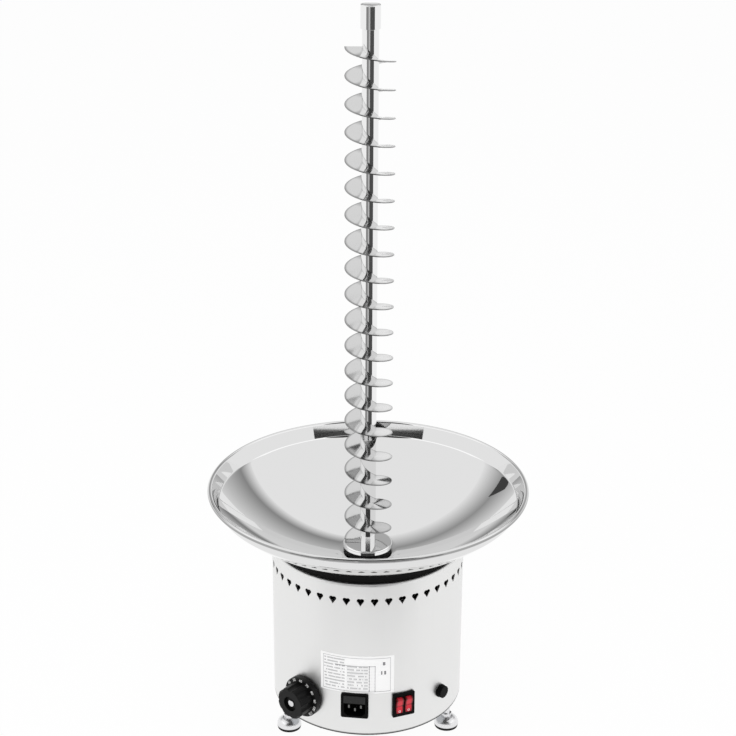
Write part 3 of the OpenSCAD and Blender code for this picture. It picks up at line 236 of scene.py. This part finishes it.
# Bowl: one dish spun from polished stainless sheet, with a flat floor, a rounded crease, a conical
# lip and a bead rolled outwards at the rim. It is held down by studs under the dish.
def draw_outline(bm, start, moves):
    """Draws an open line in the XZ plane. A move is a point, or a turn about a centre."""
    first = bm.verts.new((start[0], 0, start[1]))
    last = first
    for move in moves:
        if len(move) == 2:
            made = bmesh.ops.extrude_vert_indiv(bm, verts=[last])
            last = made["verts"][0]
            last.co = (move[0], 0, move[1])
        else:
            centre_r, centre_z, degrees, steps = move
            made = bmesh.ops.spin(bm, geom=[last], cent=(centre_r, 0, centre_z), axis=(0, -1, 0),
                                  angle=math.radians(degrees), steps=steps)
            last = [g for g in made["geom_last"] if isinstance(g, bmesh.types.BMVert)][0]
    return first, last


def turn_outline(bm, steps):
    """Spins all that is drawn once round the auger axis, as on a lathe."""
    bmesh.ops.spin(bm, geom=bm.verts[:] + bm.edges[:], cent=(0, 0, 0), axis=UPWARDS,
                   angle=2 * math.pi, steps=steps, use_merge=True)
    bmesh.ops.remove_doubles(bm, verts=bm.verts[:], dist=MERGE_GAP)
    bmesh.ops.recalc_face_normals(bm, faces=bm.faces[:])


def finish_piece(name, bm, finish, body, crease_degrees=35):
    """Makes the object of a finished mesh, smooth but for its sharp edges, and puts it on its body."""
    mesh = bpy.data.meshes.new(name)
    bm.to_mesh(mesh)
    bm.free()
    for face in mesh.polygons:
        face.use_smooth = True
    mesh.set_sharp_from_angle(angle=math.radians(crease_degrees))
    mesh.materials.append(finish.material)
    piece = bpy.data.objects.new(name, mesh)
    bpy.context.scene.collection.objects.link(piece)
    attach(piece, body)
    return piece


MERGE_GAP = 1e-6
BOWL_HOLE_R = 0.01305
BOWL_FLOOR_R = 0.032
BOWL_FLOOR_Z = 0.218
BOWL_WALL = 0.0012
DISH_R = 0.2585
CREASE_R = 0.174
CREASE_BEND_R = 0.006
RIM_R = 0.1863
BEAD_R = 0.00275
PAINTED_RIM_BAND = 0.0011
LIP_H = 0.0175
LIP_END = 0.0004
DISH_STEPS = 60
BEND_STEPS = 8
BEAD_STEPS = 26
BOWL_TURN_STEPS = 288
BOWL_SHARP = 25
SPIN_LINE_SCALE = 1400

bowl_polish = Finish("polished_bowl", Metallic=1)
bowl_radius = bowl_polish.from_axis()
line_sockets = {"W": bowl_radius, "Scale": SPIN_LINE_SCALE}
spin_lines = bowl_polish.node("ShaderNodeTexNoise", {"noise_dimensions": "1D"}, line_sockets)
# The outer edge of the rim's bead is painted dark grey: a painted dark reflection along the rim's
# outline.
painted_dark_rim = bowl_radius.rise(RIM_R - PAINTED_RIM_BAND, RIM_R)
bowl_tint = bowl_polish.tint(painted_dark_rim, (0.75, 0.75, 0.75, 1), (0.36, 0.36, 0.36, 1))
bowl_polish.feed("Base Color", bowl_tint)
bowl_polish.feed("Roughness", 0.015 + spin_lines * 0.02)

dish_centre = Vector((0, BOWL_FLOOR_Z + math.sqrt(DISH_R ** 2 - BOWL_FLOOR_R ** 2)))
crease = Vector((CREASE_R, dish_centre.y - math.sqrt(DISH_R ** 2 - CREASE_R ** 2)))
bead = Vector((RIM_R - BEAD_R, crease.y + LIP_H - BEAD_R))
to_bead = bead - crease
lip_angle = math.atan2(to_bead.y, to_bead.x) + math.asin(BEAD_R / to_bead.length)
lip_run = Vector((math.cos(lip_angle), math.sin(lip_angle)))
lip_normal = Vector((-lip_run.y, lip_run.x))

# The bend's centre lies on a line beside the lip, where it is as far from the dish as from the lip
bend_start = crease + lip_normal * CREASE_BEND_R - dish_centre
half_b = bend_start.dot(lip_run)
reach = half_b ** 2 - bend_start.length_squared + (DISH_R - CREASE_BEND_R) ** 2
bend = dish_centre + bend_start - lip_run * (half_b + math.sqrt(reach))
bend_angle = math.atan2(bend.x, dish_centre.y - bend.y)
floor_angle = math.asin(BOWL_FLOOR_R / DISH_R)
dish_sweep = math.degrees(bend_angle - floor_angle)
bend_sweep = math.degrees(lip_angle - bend_angle)
bead_sweep = 360 - math.degrees(math.acos(1 - BOWL_WALL / BEAD_R))
lip_top = bead + lip_normal * BEAD_R
lip_foot = bend - lip_normal * CREASE_BEND_R
lip_back = lip_foot - lip_normal * BOWL_WALL

bm = bmesh.new()
first, last = draw_outline(bm, (BOWL_HOLE_R, BOWL_FLOOR_Z), [
    (BOWL_FLOOR_R, BOWL_FLOOR_Z),
    (0, dish_centre.y, dish_sweep, DISH_STEPS),
    (bend.x, bend.y, bend_sweep, BEND_STEPS),
    tuple(lip_foot + lip_run * LIP_END),
    tuple(lip_top - lip_run * LIP_END),
    tuple(lip_top),
    (bead.x, bead.y, -bead_sweep, BEAD_STEPS),
    tuple(lip_back),
    (bend.x, bend.y, -bend_sweep, BEND_STEPS),
    (0, dish_centre.y, -dish_sweep, DISH_STEPS),
    (BOWL_HOLE_R, BOWL_FLOOR_Z - BOWL_WALL),
])
bm.edges.new((last, first))
turn_outline(bm, BOWL_TURN_STEPS)
bowl_spun = finish_piece("bowl_spun", bm, bowl_polish, "housing", BOWL_SHARP)
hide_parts("bowl")


# Seal: a flat black rubber ring on the bowl floor, round the flange of the hub bush.
# It keeps the chocolate out of the bearing and is clamped only by its own fit. The feet's pads
# are cut from the same rubber.
rubber = Finish("black_rubber", Base_Color=(0.005, 0.005, 0.005, 1), Specular_IOR_Level=0.2)
rubber_skin = rubber.noise((300, 300, 300), 3)
rubber.feed("Roughness", 0.45 + rubber_skin * 0.25)
rubber.on("shaft_seal", "foot_pad_1", "foot_pad_2", "foot_pad_3")


# Auger: a polished stainless shaft with a left-handed flight welded along it, a collar at its top
# and a heavy base disc, whose slot drops over the cross pin of the drive shaft.
AUGER_SHAFT_R = 0.0091
AUGER_FOOT_Z = 0.2264
AUGER_TOP_Z = 0.856
SOCKET_R = 0.00612
SOCKET_TOP_Z = 0.252
EDGE = 0.0006
EDGE_STEPS = 4
AUGER_TURN_STEPS = 96
AUGER_SHARP = 15

auger_polish = Finish("polished_auger", Base_Color=(0.86, 0.86, 0.86, 1), Metallic=1)
auger_buffing = auger_polish.noise((30, 30, 700), 2)
auger_polish.feed("Roughness", 0.02 + auger_buffing * 0.04)
auger_polish.on("auger_base")

bm = bmesh.new()
draw_outline(bm, (0, SOCKET_TOP_Z), [
    (SOCKET_R, SOCKET_TOP_Z),
    (SOCKET_R, AUGER_FOOT_Z),
    (AUGER_SHAFT_R, AUGER_FOOT_Z),
    (AUGER_SHAFT_R, AUGER_TOP_Z - 2 * EDGE),
    (AUGER_SHAFT_R, AUGER_TOP_Z - EDGE),
    (AUGER_SHAFT_R - EDGE, AUGER_TOP_Z - EDGE, 90, EDGE_STEPS),
    (0, AUGER_TOP_Z),
])
turn_outline(bm, AUGER_TURN_STEPS)
auger_rod = finish_piece("auger_rod", bm, auger_polish, "auger", AUGER_SHARP)
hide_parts("auger_shaft")

COLLAR_R = 0.0109
COLLAR_FOOT_Z = 0.8305
COLLAR_BORE_R = 0.00915

bm = bmesh.new()
first, last = draw_outline(bm, (COLLAR_BORE_R, COLLAR_FOOT_Z), [
    (COLLAR_R - EDGE, COLLAR_FOOT_Z),
    (COLLAR_R - EDGE, COLLAR_FOOT_Z + EDGE, 90, EDGE_STEPS),
    (COLLAR_R, COLLAR_FOOT_Z + 2 * EDGE),
    (COLLAR_R, AUGER_TOP_Z - 2 * EDGE),
    (COLLAR_R, AUGER_TOP_Z - EDGE),
    (COLLAR_R - EDGE, AUGER_TOP_Z - EDGE, 90, EDGE_STEPS),
    (COLLAR_BORE_R, AUGER_TOP_Z),
])
bm.edges.new((last, first))
turn_outline(bm, AUGER_TURN_STEPS)
auger_sleeve = finish_piece("auger_sleeve", bm, auger_polish, "auger", AUGER_SHARP)
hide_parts("auger_collar")

FLIGHT_R = 0.0276
FLIGHT_BORE_R = 0.0092
FLIGHT_T = 0.0012
FLIGHT_PITCH = 0.03065
FLIGHT_TURNS = 19
FLIGHT_FOOT_Z = 0.2286
FLIGHT_TOP_Z = FLIGHT_FOOT_Z + FLIGHT_PITCH * FLIGHT_TURNS
FLIGHT_STEPS = 72
FLIGHT_LIP = 0.00025
FLIGHT_PAINTED_BAND = 0.0035

flight_polish = Finish("polished_flight", Metallic=1)
# The flight's outer edge is painted dark grey: painted shade along the rim of each turn.
painted_flight_edge = flight_polish.from_axis().rise(FLIGHT_R - FLIGHT_PAINTED_BAND, FLIGHT_R)
flight_tint = flight_polish.tint(painted_flight_edge, (0.64, 0.64, 0.64, 1), (0.30, 0.30, 0.30, 1))
flight_polish.feed("Base Color", flight_tint)
flight_buffing = flight_polish.noise((90, 90, 300), 2)
flight_polish.feed("Roughness", 0.07 + flight_buffing * 0.08)

bm = bmesh.new()
under = FLIGHT_TOP_Z - FLIGHT_T / 2
over = FLIGHT_TOP_Z + FLIGHT_T / 2
first, last = draw_outline(bm, (-FLIGHT_BORE_R, under), [
    (-FLIGHT_R + FLIGHT_LIP, under),
    (-FLIGHT_R, under + FLIGHT_LIP),
    (-FLIGHT_R, over - FLIGHT_LIP),
    (-FLIGHT_R + FLIGHT_LIP, over),
    (-FLIGHT_BORE_R, over),
])
bm.edges.new((last, first))
bmesh.ops.spin(bm, geom=bm.verts[:] + bm.edges[:], cent=(0, 0, 0), axis=UPWARDS,
               dvec=(0, 0, -FLIGHT_PITCH / FLIGHT_STEPS), angle=2 * math.pi * FLIGHT_TURNS,
               steps=FLIGHT_STEPS * FLIGHT_TURNS)
bmesh.ops.holes_fill(bm, edges=[e for e in bm.edges if e.is_boundary], sides=0)
bmesh.ops.recalc_face_normals(bm, faces=bm.faces[:])
auger_screw = finish_piece("auger_screw", bm, flight_polish, "auger")
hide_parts("auger_flight")


# Thermostat knob: a black moulded grip with flutes on a skirt printed with white numbers.
# Both are pushed onto the flat of the thermostat's steel spindle, which shows in the recess.
KNOB_AZ = -39.8
CONTROLS_Z = 0.070
DIAL_FACE = 0.1205
NUMBER_RING_R = 0.0217
NUMBER_H = 0.0046
PRINT_WEIGHT = 0.00012
PRINT_T = 0.0001
PRINT_MERGE = 1e-7
PRINT_CURVE_STEPS = 3
DIAL_NUMBERS = ["10", "20", "30", "40", "50", "60", "70", "80", "90", "100", "110"]
DIAL_FIRST = -135
DIAL_STEP = 27


def on_panel(azimuth, out, across=0.0, up=CONTROLS_Z):
    """Place on the housing's front: distance out from the axis, across and up, facing outwards."""
    return Matrix.Rotation(math.radians(azimuth), 4, "Z") @ Matrix.Translation((across, -out, up))


def printed_sign(name, words, height, place, finish, body):
    """A printed sign as a thin mesh, upright in the XZ plane before it is placed."""
    lettering = bpy.data.curves.new(name, "FONT")
    lettering.body = words
    lettering.size = height
    lettering.offset = PRINT_WEIGHT
    lettering.align_x = "CENTER"
    lettering.align_y = "CENTER"
    lettering.extrude = PRINT_T / 2
    lettering.resolution_u = PRINT_CURVE_STEPS
    writing = bpy.data.objects.new(name + "_line", lettering)
    bpy.context.scene.collection.objects.link(writing)
    bpy.context.view_layer.update()
    shaped = writing.evaluated_get(bpy.context.evaluated_depsgraph_get())
    mesh = bpy.data.meshes.new_from_object(shaped)
    bpy.data.objects.remove(writing)
    bm = bmesh.new()
    bm.from_mesh(mesh)
    bmesh.ops.remove_doubles(bm, verts=bm.verts[:], dist=PRINT_MERGE)
    upright = Matrix.Rotation(math.pi / 2, 4, "X")
    bmesh.ops.transform(bm, matrix=place @ upright, verts=bm.verts[:])
    bmesh.ops.recalc_face_normals(bm, faces=bm.faces[:])
    finish_piece(name, bm, finish, body)


knob_black = Finish("knob_black", Base_Color=(0.006, 0.006, 0.006, 1), Specular_IOR_Level=0.16)
knob_skin = knob_black.noise((500, 500, 500), 3)
knob_black.feed("Roughness", 0.32 + knob_skin * 0.18)
knob_black.on("thermostat_knob", "knob_dial")

print_white = Finish("print_white", Base_Color=(0.80, 0.80, 0.79, 1))
ink = print_white.noise((900, 900, 900), 2)
print_white.feed("Roughness", 0.5 + ink * 0.2)
for step, words in enumerate(DIAL_NUMBERS):
    angle = math.radians(DIAL_FIRST + step * DIAL_STEP)
    round_dial = Matrix.Rotation(angle, 4, "Y") @ Matrix.Translation((0, 0, NUMBER_RING_R))
    place = on_panel(KNOB_AZ, DIAL_FACE + PRINT_T / 2) @ round_dial
    printed_sign("dial_number_" + words, words, NUMBER_H, place, print_white, "knob")


# Mains inlet: a black moulded socket with three plated blades and a fuse drawer above them.
# It is pushed into its cut-out from the front until its flange lies on the sheet. The frame of the
# switch and the round fuse holder are moulded in the same black.
moulded_black = Finish("moulded_black", Base_Color=(0.003, 0.003, 0.003, 1), Specular_IOR_Level=0.06)
gate_marks = moulded_black.noise((350, 350, 350), 3)
moulded_black.feed("Roughness", 0.30 + gate_marks * 0.2)
moulded_black.on("inlet_body", "switch_body", "fuse_holder", "fuse_nut", "fuse_cap")

drawer_grey = Finish("drawer_grey", Base_Color=(0.022, 0.022, 0.022, 1), Specular_IOR_Level=0.2)
drawer_skin = drawer_grey.noise((600, 600, 600), 3)
drawer_grey.feed("Roughness", 0.42 + drawer_skin * 0.2)
drawer_grey.on("fuse_drawer")

# The blades' plating is painted dark grey: painted shade, as they sit deep in the socket's recesses.
shaded_blade_plate = Finish("shaded_blade_plate", Base_Color=(0.17, 0.17, 0.165, 1), Metallic=1)
blade_wear = shaded_blade_plate.noise((800, 800, 200), 3)
shaded_blade_plate.feed("Roughness", 0.28 + blade_wear * 0.2)
shaded_blade_plate.on("inlet_pins")


# Rocker switch: two rockers of translucent red plastic side by side in one black frame.
# Each is moulded in one piece with its pivot pins and carries a printed ring at its foot.
SWITCH_AZ = 21.8
ROCKER_ACROSS = 0.0056
ROCKER_HALF_W = 0.0043
CREASE_DROP = 0.0004
LOWER_FACE = 0.11587
LOWER_MARK_DROP = 0.0078
MARK_H = 0.0036
SIDE_SHADE = (0.40 * ROCKER_HALF_W, 1.02 * ROCKER_HALF_W)
END_SHADE = (0.0052, 0.0100)
CREASE_SHADE = (0.0002, 0.0016)

switch_across = (math.cos(math.radians(SWITCH_AZ)), math.sin(math.radians(SWITCH_AZ)), 0)
rocker_red = Finish("rocker_red", Specular_IOR_Level=0.3, Coat_Weight=0.1, Coat_Roughness=0.12)
moulding = rocker_red.noise((220, 220, 220), 2)
# The rockers are painted dark red at their sides, at their ends and along the middle crease: painted
# shade over the plastic's own red.
from_middle = abs(abs(rocker_red.along(switch_across)) - ROCKER_ACROSS)
from_crease = abs(rocker_red.along(UPWARDS) - (CONTROLS_Z - CREASE_DROP))
painted_side_shade = from_middle.rise(*SIDE_SHADE)
painted_end_shade = from_crease.rise(*END_SHADE)
painted_crease_shade = 1 - from_crease.rise(*CREASE_SHADE)
shade = painted_side_shade * 0.85 + painted_end_shade * 0.4 + painted_crease_shade * 0.5
painted_shade_mask = rocker_red.node("ShaderNodeClamp", None, {"Value": shade})
lit_red = rocker_red.tint(moulding, (0.74, 0.012, 0.032, 1), (0.86, 0.030, 0.060, 1))
rocker_red.feed("Base Color", rocker_red.tint(painted_shade_mask, lit_red, (0.09, 0.001, 0.002, 1)))
rocker_red.feed("Roughness", 0.22 + moulding * 0.15)
rocker_red.on("rocker_left", "rocker_right")

for side, body in ((-1, "left_rocker"), (1, "right_rocker")):
    lower = on_panel(SWITCH_AZ, LOWER_FACE, side * ROCKER_ACROSS, CONTROLS_Z - LOWER_MARK_DROP)
    printed_sign(body + "_ring", "O", MARK_H, lower, print_white, body)


# Fuse: a glass tube with a wire through it, held in the stem of the round holder's cap.
# The cap turns a little in its bayonet and then pulls out with the fuse.
fuse_glass = Finish("fuse_glass", Base_Color=(0.86, 0.90, 0.90, 1), Transmission_Weight=0.7, IOR=1.5)
glass_waves = fuse_glass.noise((260, 260, 260), 2)
fuse_glass.feed("Roughness", 0.04 + glass_waves * 0.06)
fuse_glass.on("fuse_link")


# Feet: chromed cups on rubber pads, each turning on a plated stud that screws into a weld nut.
# The cup is drawn from sheet with a smooth dome. Its lowest edge is painted black: partly painted shade
# at the rim, partly a stand-in for the pad, which is thicker on the real feet.
CUP_FOOT_Z = 0.0026
PAINTED_FOOT_BAND = 0.0013

foot_chrome = Finish("foot_chrome", Metallic=1)
plating = foot_chrome.noise((240, 240, 240), 2)
# Black band painted round the cup's foot, as painted shade at its rim.
above_painted_foot_band = foot_chrome.along(UPWARDS).rise(CUP_FOOT_Z + PAINTED_FOOT_BAND / 2, CUP_FOOT_Z + PAINTED_FOOT_BAND)
foot_tint = foot_chrome.tint(above_painted_foot_band, (0.01, 0.01, 0.01, 1), (0.80, 0.80, 0.81, 1))
foot_chrome.feed("Base Color", foot_tint)
foot_chrome.feed("Roughness", 0.22 + plating * 0.10)
foot_chrome.on("foot_cup_1", "foot_cup_2", "foot_cup_3",
               "foot_stud_1", "foot_stud_2", "foot_stud_3")


# Rating sticker: a blank form on white film, stuck to the drum above the inlet.
# It carries only thin grey rules, and short grey bars and blocks in the places of its entries.
LABEL_R = 0.11262
LABEL_T = 0.0001
LABEL_FROM_AZ = -28.2
LABEL_TO_AZ = 15.9
LABEL_FOOT_Z = 0.0882
LABEL_TOP_Z = 0.137
LABEL_STEPS = 48
LABEL_ROWS = 12
LABEL_PAINTED_GLOW = 0.22
ENTRY_GRAIN = 30
ROW_STRIDE = 7.3
ENTRY_GAPS = 0.42
ENTRY_BAND = (0.28, 0.78)
RULE_BAND = 0.10

# The film glows in its own colours: painted light that makes the white sticker brighter than the lamps
# alone would.
film = Finish("label_film", Roughness=0.35, Emission_Strength=LABEL_PAINTED_GLOW)
uv = film.node("ShaderNodeUVMap", {"uv_map": "sticker"})
across = film.node("ShaderNodeSeparateXYZ", None, {0: uv}, "X")
up = film.node("ShaderNodeSeparateXYZ", None, {0: uv}, "Y")
rows = up * LABEL_ROWS
line_part = rows % 1
row = rows - line_part
bar_spot = film.node("ShaderNodeCombineXYZ", None, {"X": across * ENTRY_GRAIN, "Y": row * ROW_STRIDE})
bars = film.node("ShaderNodeTexNoise", None, {"Vector": bar_spot, "Scale": 1, "Detail": 1})


def patch(across_range, up_range):
    """A rectangle on the sticker, given in shares of its width and of its height."""
    return across.between(*across_range) * up.between(*up_range)


columns = patch((0.05, 0.34), (0.07, 0.94)) + patch((0.37, 0.65), (0.07, 0.72))
entries = (bars > ENTRY_GAPS) * line_part.between(*ENTRY_BAND) * columns
rules = (line_part < RULE_BAND) * patch((0.36, 0.74), (0.00, 0.70))
inside = patch((0.034, 0.956), (0.030, 0.952))
frame_line = inside - inside * patch((0.044, 0.946), (0.058, 0.930))
posts = patch((0.662, 0.674), (0.04, 0.74)) + patch((0.740, 0.750), (0.04, 0.74))
header = patch((0.20, 0.75), (0.715, 0.745))
square_mark = patch((0.846, 0.880), (0.75, 0.84))
bar_marks = patch((0.824, 0.842), (0.50, 0.60)) + patch((0.866, 0.892), (0.50, 0.60))
marks = square_mark + bar_marks
ink_parts = entries * 0.48 + rules * 0.40 + frame_line * 0.45 + posts * 0.60 + header * 0.45 + marks * 0.9
ink_mask = film.node("ShaderNodeClamp", None, {"Value": ink_parts})
film_tint = film.tint(ink_mask, (0.88, 0.88, 0.88, 1), (0.13, 0.13, 0.14, 1))
film.feed("Base Color", film_tint)
film.feed("Emission Color", film_tint)


def sweep_edge(bm, low, high, from_az, to_az, steps):
    """A curved strip round the auger axis. Its edges are given by distance and height."""
    start = Matrix.Rotation(math.radians(from_az), 4, "Z")
    foot = bm.verts.new(start @ Vector((0, -low[0], low[1])))
    head = bm.verts.new(start @ Vector((0, -high[0], high[1])))
    bmesh.ops.spin(bm, geom=[foot, head, bm.edges.new((foot, head))], cent=(0, 0, 0), axis=UPWARDS,
                   angle=math.radians(to_az - from_az), steps=steps)


bm = bmesh.new()
sticker_uv = bm.loops.layers.uv.new("sticker")
label_low = (LABEL_R, LABEL_FOOT_Z)
label_high = (LABEL_R, LABEL_TOP_Z)
sweep_edge(bm, label_low, label_high, LABEL_FROM_AZ, LABEL_TO_AZ, LABEL_STEPS)
for face in bm.faces:
    for loop in face.loops:
        azimuth = math.degrees(math.atan2(loop.vert.co.x, -loop.vert.co.y))
        loop[sticker_uv].uv = ((azimuth - LABEL_FROM_AZ) / (LABEL_TO_AZ - LABEL_FROM_AZ),
                               (loop.vert.co.z - LABEL_FOOT_Z) / (LABEL_TOP_Z - LABEL_FOOT_Z))
bmesh.ops.recalc_face_normals(bm, faces=bm.faces[:])
if bm.faces[0].normal.y > 0:
    bmesh.ops.reverse_faces(bm, faces=bm.faces[:])
bmesh.ops.solidify(bm, geom=bm.faces[:], thickness=LABEL_T)
finish_piece("rating_sticker", bm, film, "housing")


# Studio: a white sweep under soft light, with grey cards standing and lying round it, out of the
# picture. The cards give the polished steel something to mirror, as a room does round a table.
FLOOR_R = 30.0
FLOOR_STEPS = 64
PAPER_GLOW = 0.96
ROOM_LIGHT = 0.55
ROOM_WHITE = 1.0
scene = bpy.context.scene
scene.view_settings.view_transform = "Standard"


def stage_piece(name, bm, finish):
    """Makes the object of a stage mesh, which is no part of the fountain, and links it into the scene."""
    mesh = bpy.data.meshes.new(name)
    bm.to_mesh(mesh)
    bm.free()
    mesh.materials.append(finish.material)
    piece = bpy.data.objects.new(name, mesh)
    scene.collection.objects.link(piece)
    return piece


paper = Finish("white_paper", Base_Color=(0.92, 0.92, 0.92, 1), Roughness=0.9)
glow = paper.node("ShaderNodeEmission", None, {"Color": (1, 1, 1, 1), "Strength": 1}, "Emission")
lit = Amount(paper, paper.surface.outputs[0])
shown = paper.node("ShaderNodeMixShader", None, {0: paper.seen() * PAPER_GLOW, 1: lit, 2: glow})
paper.tree.links.new(shown.socket, paper.tree.nodes["Material Output"].inputs["Surface"])
bm = bmesh.new()
bmesh.ops.create_circle(bm, cap_ends=True, segments=FLOOR_STEPS, radius=FLOOR_R)
stage_piece("white_sweep", bm, paper)

world = bpy.data.worlds.new("white_room")
scene.world = world
room = Shading(world, "Background")
room.surface.inputs["Color"].default_value = (1, 1, 1, 1)
levels = {"Value": room.seen(), "To Min": ROOM_LIGHT, "To Max": ROOM_WHITE}
room.feed("Strength", room.node("ShaderNodeMapRange", None, levels))

# Each card: its lower and upper edge as distance and height, its azimuths, its greys at both edges
CARDS = [
    ("right_wall_foot", (3.0, 0.95), (3.0, 2.10), 120, 180, 0.80, 0.30),
    ("right_wall_head", (3.0, 2.10), (3.0, 2.60), 120, 180, 0.30, 0.95),
    ("left_wall_foot", (3.0, 0.95), (3.0, 1.70), 180, 240, 0.80, 0.36),
    ("left_wall_head", (3.0, 1.70), (3.0, 2.65), 180, 240, 0.33, 0.97),
    ("wall_shelf", (2.9, 1.37), (2.9, 1.74), 214, 223, 0.06, 0.06),
    ("camera_screen", (3.0, 1.10), (3.0, 1.90), -44, 44, 0.05, 0.05),
    ("lamp_screen", (2.9, 1.735), (1.0, 2.75), -36, 36, 0.05, 0.05),
    ("ceiling_ring", (3.0, 1.85), (2.5, 2.75), -110, 110, 1.3, 1.3),
    ("floor_card_left", (0.75, 0.002), (6.0, 0.002), -50, -24, 0.25, 0.25),
    ("floor_card_gap", (0.75, 0.002), (6.0, 0.002), -24, -8, 0.50, 0.50),
    ("floor_card_right", (0.75, 0.002), (6.0, 0.002), -6, 48, 0.08, 0.08),
]
CARD_STEPS = 24
FLAT_CARD_RISE = 0.001

# The camera screen's upper edge is cut by a plane, so that it falls from its middle to its ends
SCREEN_TOP = 1.074
SCREEN_FALL = 0.206

for name, low, high, from_az, to_az, low_grey, high_grey in CARDS:
    card_face = Finish(name, Base_Color=(0, 0, 0, 1), Specular_IOR_Level=0, Emission_Strength=1)
    card_top = high[1] + FLAT_CARD_RISE
    sockets = {"Value": card_face.along(UPWARDS), "From Min": low[1], "From Max": card_top}
    height = card_face.node("ShaderNodeMapRange", None, sockets)
    greys = [(grey, grey, grey, 1) for grey in (low_grey, high_grey)]
    card_face.feed("Emission Color", card_face.tint(height, *greys))
    bm = bmesh.new()
    sweep_edge(bm, low, high, from_az, to_az, CARD_STEPS)
    if name == "camera_screen":
        bmesh.ops.bisect_plane(bm, geom=bm.verts[:] + bm.edges[:] + bm.faces[:], clear_outer=True,
                               plane_co=(0, 0, SCREEN_TOP), plane_no=(0, SCREEN_FALL, 1))
    card = stage_piece(name, bm, card_face)
    card.visible_camera = False
    card.visible_diffuse = False
    card.visible_shadow = False
    card.visible_transmission = False

# Each lamp: where it hangs, where it points, its width and its power
LAMPS = [
    ("top_light", (0.0, -0.3, 2.6), (0, 0, 0.3), 2.0, 26),
    ("front_light", (-0.9, -2.2, 1.9), (0, 0, 0.3), 1.4, 16),
]
for name, place, target, width, power in LAMPS:
    lamp = bpy.data.lights.new(name, "AREA")
    lamp.shape = "SQUARE"
    lamp.size = width
    lamp.energy = power
    lamp_object = bpy.data.objects.new(name, lamp)
    lamp_object.location = place
    aim = Vector(target) - Vector(place)
    lamp_object.rotation_euler = aim.to_track_quat("-Z", "Y").to_euler()
    lamp_object.visible_glossy = False
    scene.collection.objects.link(lamp_object)


# Camera: the photograph's view from in front and above, with the object leaning a touch to the
# right. Its focal length and shift are in pixels of the photograph's frame.
IMAGE_PX = 736
FOCAL_PX = 1755
SENSOR_MM = 36
SHIFT_PX = 0.8
CAMERA_AT = (0.0, -1.841, 1.191)
CAMERA_PITCH = 22.03
CAMERA_ROLL = 0.31
lens = bpy.data.cameras.new("product_camera")
lens.sensor_width = SENSOR_MM
lens.lens = FOCAL_PX / IMAGE_PX * SENSOR_MM
lens.shift_x = -SHIFT_PX / IMAGE_PX
camera = bpy.data.objects.new("product_camera", lens)
scene.collection.objects.link(camera)
tilt = Matrix.Rotation(math.radians(90 - CAMERA_PITCH), 4, "X")
lean = Matrix.Rotation(math.radians(CAMERA_ROLL), 4, "Z")
camera.matrix_world = Matrix.Translation(CAMERA_AT) @ tilt @ lean
scene.camera = camera
